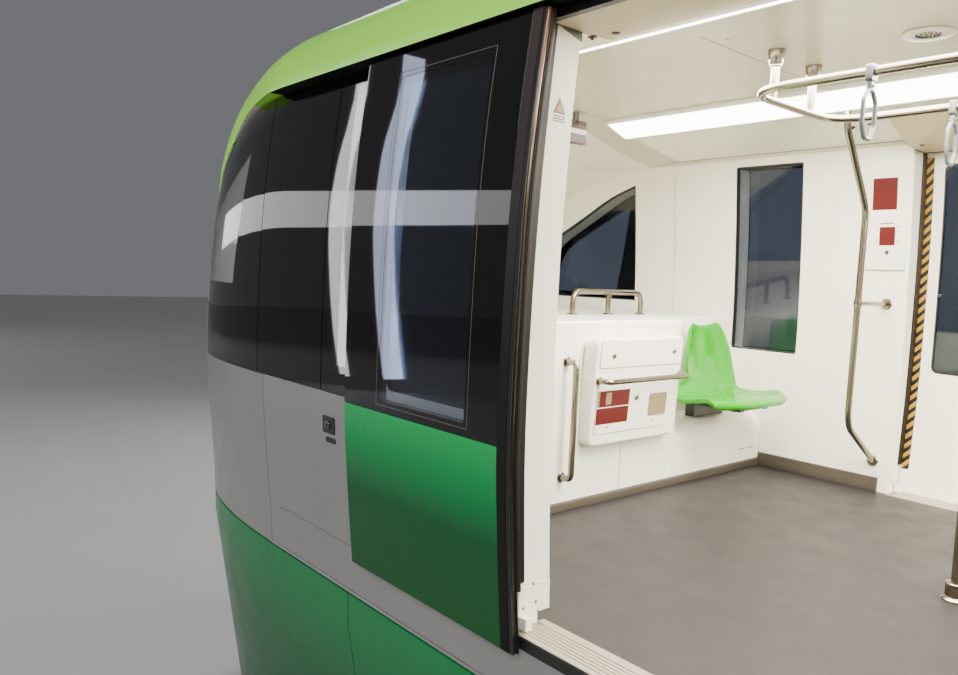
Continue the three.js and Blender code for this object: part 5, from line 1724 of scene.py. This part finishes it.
def dress_overhead_rail():
    """Closed loop on hangers, with a clamp where a hanger meets its long sides."""
    z, y, front, rear = RAIL["z"], RAIL["y"], RAIL["front"], RAIL["rear"]
    corners = [(front, -y, z), (front, y, z), (rear, y, z), (rear, -y, z)]
    parts = [paint(tube("loop", corners, RAIL["radius"], 0.17, 20, closed=True), STEEL)]
    for x in RAIL_HANGERS:
        at_end = x in (front, rear)
        reach = 0.155 if at_end else y
        parts += [hanger(x, side * reach, z) for side in (-1, 1)]
        if not at_end:
            for side in (-1, 1):
                clamp = tube("clamp", [(x - 0.035, side * y, z), (x + 0.035, side * y, z)], 0.0195, 0.0, 20)
                parts.append(paint(clamp, STEEL))
    placed(joined("overhead_rail_piece", parts), replaces=["overhead_rail"])


def strap(x, y, z):
    """Strap handle: clamp on the rail, swivel and a long six-sided grip."""
    clamp = slab(
        "clamp", (x - 0.012, y - 0.024, z - 0.034), (x + 0.012, y + 0.024, z + 0.024), 0.012, "x", STRAP_GREY,
    )
    ear = slab(
        "ear", (x - 0.008, y - 0.012, z - 0.062), (x + 0.008, y + 0.012, z - 0.030), 0.005, "x", STRAP_GREY,
    )
    pin = lathe("pin", [(0, -0.014), (0.005, -0.014), (0.005, 0.014), (0, 0.014)], (x, y, z - 0.05), "x", 12)
    top, low = z - 0.064, z - 0.226
    points = [
        (x, y - 0.018, top), (x, y - 0.047, top - 0.036), (x, y - 0.048, low + 0.046), (x, y - 0.024, low),
        (x, y + 0.024, low), (x, y + 0.048, low + 0.046), (x, y + 0.047, top - 0.036), (x, y + 0.018, top),
    ]
    grip = tube("grip", points, 0.0078, 0.009, 10, closed=True)
    return [clamp, ear, paint(pin, STEEL), paint(grip, STRAP_GREY)]


def dress_straps():
    for side, sign in SIDES.items():
        parts = []
        for i in range(STRAPS["count"]):
            parts += strap(STRAPS[side] - STRAPS["pitch"] * i, sign * RAIL["y"], RAIL["z"])
        placed(joined(f"strap_handles_{side}", parts), bevel=0.0015)


def dress_poles():
    """Floor-to-ceiling poles with a ribbed collar at the floor and the same collar at the ceiling."""
    collar = [
        (0.0, 0.001), (0.044, 0.001), (0.044, 0.006), (0.034, 0.012), (0.031, 0.016), (0.031, 0.054),
        (0.034, 0.058), (0.034, 0.064), (0.028, 0.068), (0.0, 0.068),
    ]
    for name, (x, y) in POLES.items():
        pole = tube("pole", [(x, y, FLOOR_Z), (x, y, CEILING_Z)], 0.0165, 0.0, 24)
        foot = lathe("collar", collar, (x, y, FLOOR_Z), "z", 36)
        cap = hung(lathe("cap", [(r, -h) for r, h in collar], (x, y, CEILING_Z), "z", 36))
        parts = [paint(pole, STEEL), paint(foot, STEEL), paint(cap, STEEL)]
        for a in around(12):
            rib_x, rib_y = x + 0.031 * math.cos(a), y + 0.031 * math.sin(a)
            ends = [(rib_x, rib_y, FLOOR_Z + 0.018), (rib_x, rib_y, FLOOR_Z + 0.052)]
            parts.append(paint(tube("rib", ends, 0.003, 0.0, 6), STEEL))
        placed(joined(f"grab_pole_piece_{name}", parts), replaces=[f"grab_pole_{name}"])


def dress_handrail():
    """Wall handrail in front of the right-hand doorway, from the ceiling down to the wall."""
    x, knee = 3.498, (-1.012, 1.504)
    route = [
        (x, -0.722, CEILING_Z), (x, -0.723, 2.379), (x, -1.018, 1.985), (x, -1.012, 1.5), (x, -1.007, 0.905),
        (x, -1.035, 0.842), (x, -1.362, 0.628),
    ]
    rail = tube("rail", route, 0.0165, 0.06, 20)
    stub = tube("stub", [(x, *knee), (x, -1.366, 1.504)], 0.0125, 0.0, 18)
    bead = [(0, -0.02), (0.019, -0.02), (0.021, 0), (0.019, 0.02), (0, 0.02)]
    boss = lathe("boss", bead, (x, *knee), "z", 20)
    foot = moved(flange((0, 0, 0), "y", 0.03, 0.010), (x, -1.366, 0.628))
    wall_end = moved(flange((0, 0, 0), "y", 0.030, 0.010), (x, -1.3715, 1.504))
    cone = [(0, 0), (0.042, 0), (0.042, -0.005), (0.024, -0.012), (0.019, -0.03), (0, -0.03)]
    top = hung(lathe("top", cone, (x, -0.722, CEILING_Z - 0.0205), "z", 28))
    parts = [paint(rail, STEEL), paint(stub, STEEL), paint(boss, STEEL), foot, wall_end, paint(top, STEEL)]
    placed(joined("handrail_piece_right", parts), replaces=["handrail_right"])


# Rear end and running gear

LOAD_WHEEL_RADIUS = 0.503
SMALL_WHEEL_Y = 0.545
# Kind, place in the bogie, distance from its middle and height of the small wheels
SMALL_WHEELS = [
    ("guide_wheel", "fore", 0.85, -0.225), ("guide_wheel", "aft", -0.85, -0.225),
    ("stabiliser_wheel", "", 0.0, -0.9),
]


def dress_rear_cover():
    """Cover over the rear bogie, its cushion and its louvres."""
    cover = block("rear_bogie_cover_piece", (-5.53, -0.54, FLOOR_Z + 0.001), (-4.17, 0.54, 1.12))
    cut(cover, block("space", (-5.51, -0.52, 0.4), (-4.19, 0.52, 1.10)))
    placed(paint(cover, WHITE), replaces=["rear_bogie_cover"], bevel=0.012, segments=3)
    cushion = slab("rear_cover_top", (-5.5, -0.51, 1.118), (-4.2, 0.51, 1.135), 0.03, "z", GREY_TRIM)
    placed(cushion, bevel=0.006)
    louvres = []
    for sign in (-1, 1):
        low, high = sorted((sign * 0.538, sign * 0.5425))
        for i in range(9):
            z = 0.56 + 0.035 * i
            louvres.append(paint(block("louvre", (-5.2, low, z), (-4.5, high, z + 0.012)), GREY))
    placed(joined("rear_cover_louvres", louvres), bevel=0.001)


def dress_bellows():
    """Rings round the gangway, every other one drawn in."""
    pleats = []
    for i in range(9):
        x = -6.236 + 0.0205 * i
        depth = 0.0 if i % 2 == 0 else 0.035
        y, low, high = 0.716 - depth, 0.354 + depth, 2.516 - depth
        ring = prism("pleat", rounded(-y, y, low, high, 0.12), "x", x, x + 0.014)
        cut(ring, prism("hole", rounded(-0.56, 0.56, 0.47, 2.37, 0.06), "x", -7, -6))
        pleats.append(paint(ring, BELLOWS))
    placed(joined("bellows_pleats", pleats), bevel=0.003)


def dress_small_wheels():
    """Treads and hub bolts of the guide and stabilising wheels."""
    lower_half = [
        (0.0, -0.110), (0.030, -0.110), (0.030, -0.048), (0.130, -0.046), (0.142, -0.058), (0.186, -0.060),
        (0.198, -0.048), (0.200, -0.02), (0.196, -0.015), (0.196, -0.010), (0.200, -0.005),
    ]
    profile = lower_half + [(r, -h) for r, h in reversed(lower_half)]
    for end, bogie_x in BOGIES.items():
        for kind, place, dx, z in SMALL_WHEELS:
            for side, sign in SIDES.items():
                node = "_".join(part for part in (kind, end, place, side) if part)
                x, y = bogie_x + dx, sign * SMALL_WHEEL_Y
                wheel = lathe(f"{node}_piece", profile, (x, y, z), "z", 40)
                paint(wheel, TYRE)
                paint(wheel, BOGIE, lambda c, n: math.hypot(c.x - x, c.y - y) < 0.143)
                parts = [wheel]
                for a in around(6):
                    bolt = dot("bolt", (0, 0, 0), 0.011, 0.012, "z", STEEL, 6)
                    parts.append(moved(bolt, (x + 0.085 * math.cos(a), y + 0.085 * math.sin(a), z + 0.047)))
                placed(joined(f"{node}_piece", parts), node, [node])


def load_wheel_profile():
    """Hub, rim and a tyre with three grooves, from the outer face in to the middle of the axle."""
    profile = [
        (0.0, 0.400), (0.060, 0.400), (0.060, 0.285), (0.20, 0.275), (0.285, 0.282), (0.312, 0.308),
        (0.42, 0.312), (0.470, 0.305), (0.497, 0.280), (LOAD_WHEEL_RADIUS, 0.262),
    ]
    for y in (0.232, 0.172, 0.112):
        profile += [
            (LOAD_WHEEL_RADIUS, y), (0.490, y - 0.003), (0.490, y - 0.013), (LOAD_WHEEL_RADIUS, y - 0.016),
        ]
    return profile + [
        (LOAD_WHEEL_RADIUS, 0.06), (0.494, 0.036), (0.46, 0.021), (0.31, 0.020), (0.10, 0.020), (0.0, 0.020),
    ]


def dress_load_wheels():
    """Twin tyres, hub bolts and axle of both load axles."""
    z = LOAD_WHEEL_RADIUS
    for end, x in BOGIES.items():
        node = f"load_axle_{end}"
        parts = []
        for sign in (1, -1):
            wheel = lathe("wheel", [(r, sign * h) for r, h in load_wheel_profile()], (x, 0, z), "y", 64)
            paint(wheel, TYRE)
            paint(wheel, BOGIE, lambda c, n: math.hypot(c.x - x, c.z - z) < 0.30)
            parts.append(wheel)
            for a in around(10):
                bolt = dot("bolt", (0, 0, 0), 0.016, 0.018, "y", STEEL, 6)
                place = (x + 0.15 * math.cos(a), sign * 0.277, z + 0.15 * math.sin(a))
                parts.append(moved(bolt if sign > 0 else flipped(bolt), place))
        axle = lathe("axle", [(0, -0.03), (0.09, -0.03), (0.09, 0.03), (0, 0.03)], (x, 0, z), "y", 32)
        parts.append(paint(axle, BOGIE))
        placed(joined(f"{node}_piece", parts), node, [node])


def dress_bogie_details():
    """Pleated springs and rows of bolts on the bogie frames, which keep their CAD shape."""
    pleats = [(0.0, 0.195)]
    for i in range(4):
        z = 0.2 + 0.024 * i
        pleats += [(0.145, z), (0.156, z + 0.012), (0.145, z + 0.023)]
    pleats += [(0.14, 0.2965), (0.0, 0.2965)]
    for end, x in BOGIES.items():
        parts = []
        for sign in (-1, 1):
            parts.append(paint(lathe("spring", pleats, (x, sign * 0.64, 0), "z", 40), RUBBER))
            for dx in (-0.8, -0.6, -0.4, -0.2, 0.2, 0.4, 0.6, 0.8):
                for z in (0.21, -0.3):
                    bolt = dot("bolt", (0, 0, 0), 0.014, 0.014, "y", STEEL, 6)
                    parts.append(moved(bolt if sign > 0 else flipped(bolt), (x + dx, sign * 0.85, z)))
        placed(joined(f"bogie_fittings_{end}", parts), f"bogie_{end}")


# Nodes that keep their CAD shape

NODE_FINISHES = {
    "floor": FLOOR, "rear_end_wall": SILVER, "gangway_bellows": BELLOWS, "drawbar": BOGIE,
    "bogie_frame_front": BOGIE, "bogie_frame_rear": BOGIE,
}


def dress_nodes():
    for name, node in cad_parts.items():
        if not node.hide_render:
            node.data.materials.clear()
            node.data.materials.append(NODE_FINISHES.get(name, GREY))


STAGES = [
    dress_walls, dress_glazing, dress_window_units, dress_body_trim, dress_roof, dress_roof_units,
    dress_nose_arch, dress_windscreen, dress_nose_shell, dress_headlamps, dress_nose_details, dress_skirts,
    dress_doors, dress_doorways, dress_lining, dress_wall_plates,
    dress_lights, dress_ceiling_joints, dress_speakers, dress_display,
    dress_console_base, dress_console_box, dress_console_labels, dress_console_locks, dress_console_bars,
    dress_console_trim, dress_hoops, dress_seats,
    dress_overhead_rail, dress_straps, dress_poles, dress_handrail,
    dress_rear_cover, dress_bellows, dress_small_wheels, dress_load_wheels, dress_bogie_details, dress_nodes,
]
for dress in STAGES:
    dress()
for solid in TOOLS.values():
    bpy.data.objects.remove(solid)


# Floor, lights and camera

CAMERA_PLACE = (1.7193, 3.1095, 1.5713)
CAMERA_YAW = 40.753
CAMERA_PITCH = -4.7
CAMERA_ROLL = 2.514
FOCAL_PIXELS = 774.445
PHOTO_WIDTH = 958
SENSOR = 36.0


def make_camera():
    yaw, pitch, roll = (math.radians(a) for a in (CAMERA_YAW, CAMERA_PITCH, CAMERA_ROLL))
    forward = Vector((math.cos(yaw) * math.cos(pitch), -math.sin(yaw) * math.cos(pitch), math.sin(pitch)))
    right = Vector((-math.sin(yaw), -math.cos(yaw), 0))
    up = right.cross(forward)
    tilted_right = right * math.cos(roll) + up * math.sin(roll)
    tilted_up = up * math.cos(roll) - right * math.sin(roll)
    data = bpy.data.cameras.new("camera")
    data.sensor_width = SENSOR
    data.sensor_fit = "HORIZONTAL"
    data.lens = FOCAL_PIXELS / PHOTO_WIDTH * SENSOR
    data.clip_start = 0.05
    data.clip_end = 200
    camera = bpy.data.objects.new("camera", data)
    turn = Matrix((tilted_right, tilted_up, -forward)).transposed().to_4x4()
    camera.matrix_world = Matrix.Translation(CAMERA_PLACE) @ turn
    bpy.context.scene.collection.objects.link(camera)
    bpy.context.scene.camera = camera


def area_light(name, place, target, size, power, colour=(1, 1, 1), roll=0.0):
    data = bpy.data.lights.new(name, "AREA")
    data.shape = "RECTANGLE"
    data.size, data.size_y = size
    data.energy = power
    data.color = colour
    light = bpy.data.objects.new(name, data)
    direction = Vector(target) - Vector(place)
    turn = direction.to_track_quat("-Z", "Y").to_matrix().to_4x4()
    rolled = turn @ Matrix.Rotation(math.radians(roll), 4, "Z")
    light.matrix_world = Matrix.Translation(place) @ rolled
    bpy.context.scene.collection.objects.link(light)


def make_studio():
    ground = block("studio_ground", (-60, -60, SKIRT_BOTTOM_Z - 0.06), (60, 60, SKIRT_BOTTOM_Z - 0.01))
    paint(ground, CONCRETE)
    world = bpy.data.worlds.new("studio")
    world.use_nodes = True
    background = world.node_tree.nodes["Background"]
    background.inputs["Color"].default_value = (0.64, 0.66, 0.70, 1)
    background.inputs["Strength"].default_value = 0.26
    bpy.context.scene.world = world
    area_light("key", (-1, 9, 7), (2.5, 1, 1), (6, 4), 930)
    area_light("nose_fill", (12, -5, 6), (5, 0, 1), (5, 4), 350)
    area_light("far_fill", (0, -9, 6), (0, 0, 1), (8, 4), 500)
    glass = (4.4, 1.5, 1.7)
    area_light("glass_column_aft", (15.45, 7.74, 3.4), glass, (0.30, 8.5), 55, (1.0, 0.9, 1.0), roll=5.5)
    area_light("glass_column_fore", (14.95, 8.64, 3.4), glass, (0.42, 8.5), 75, (0.66, 0.72, 1.0), roll=5.5)
    area_light("glass_band", (22, 16, 5.3), (4.4, 1.5, 1.8), (34, 1.8), 620, roll=6)
    for x in (2.8, -0.4, -3.4):
        area_light(f"cabin_{x:.0f}", (x, 0, 2.48), (x, 0, 0), (2.4, 1.1), 340, (1.0, 0.93, 0.80))


make_camera()
make_studio()

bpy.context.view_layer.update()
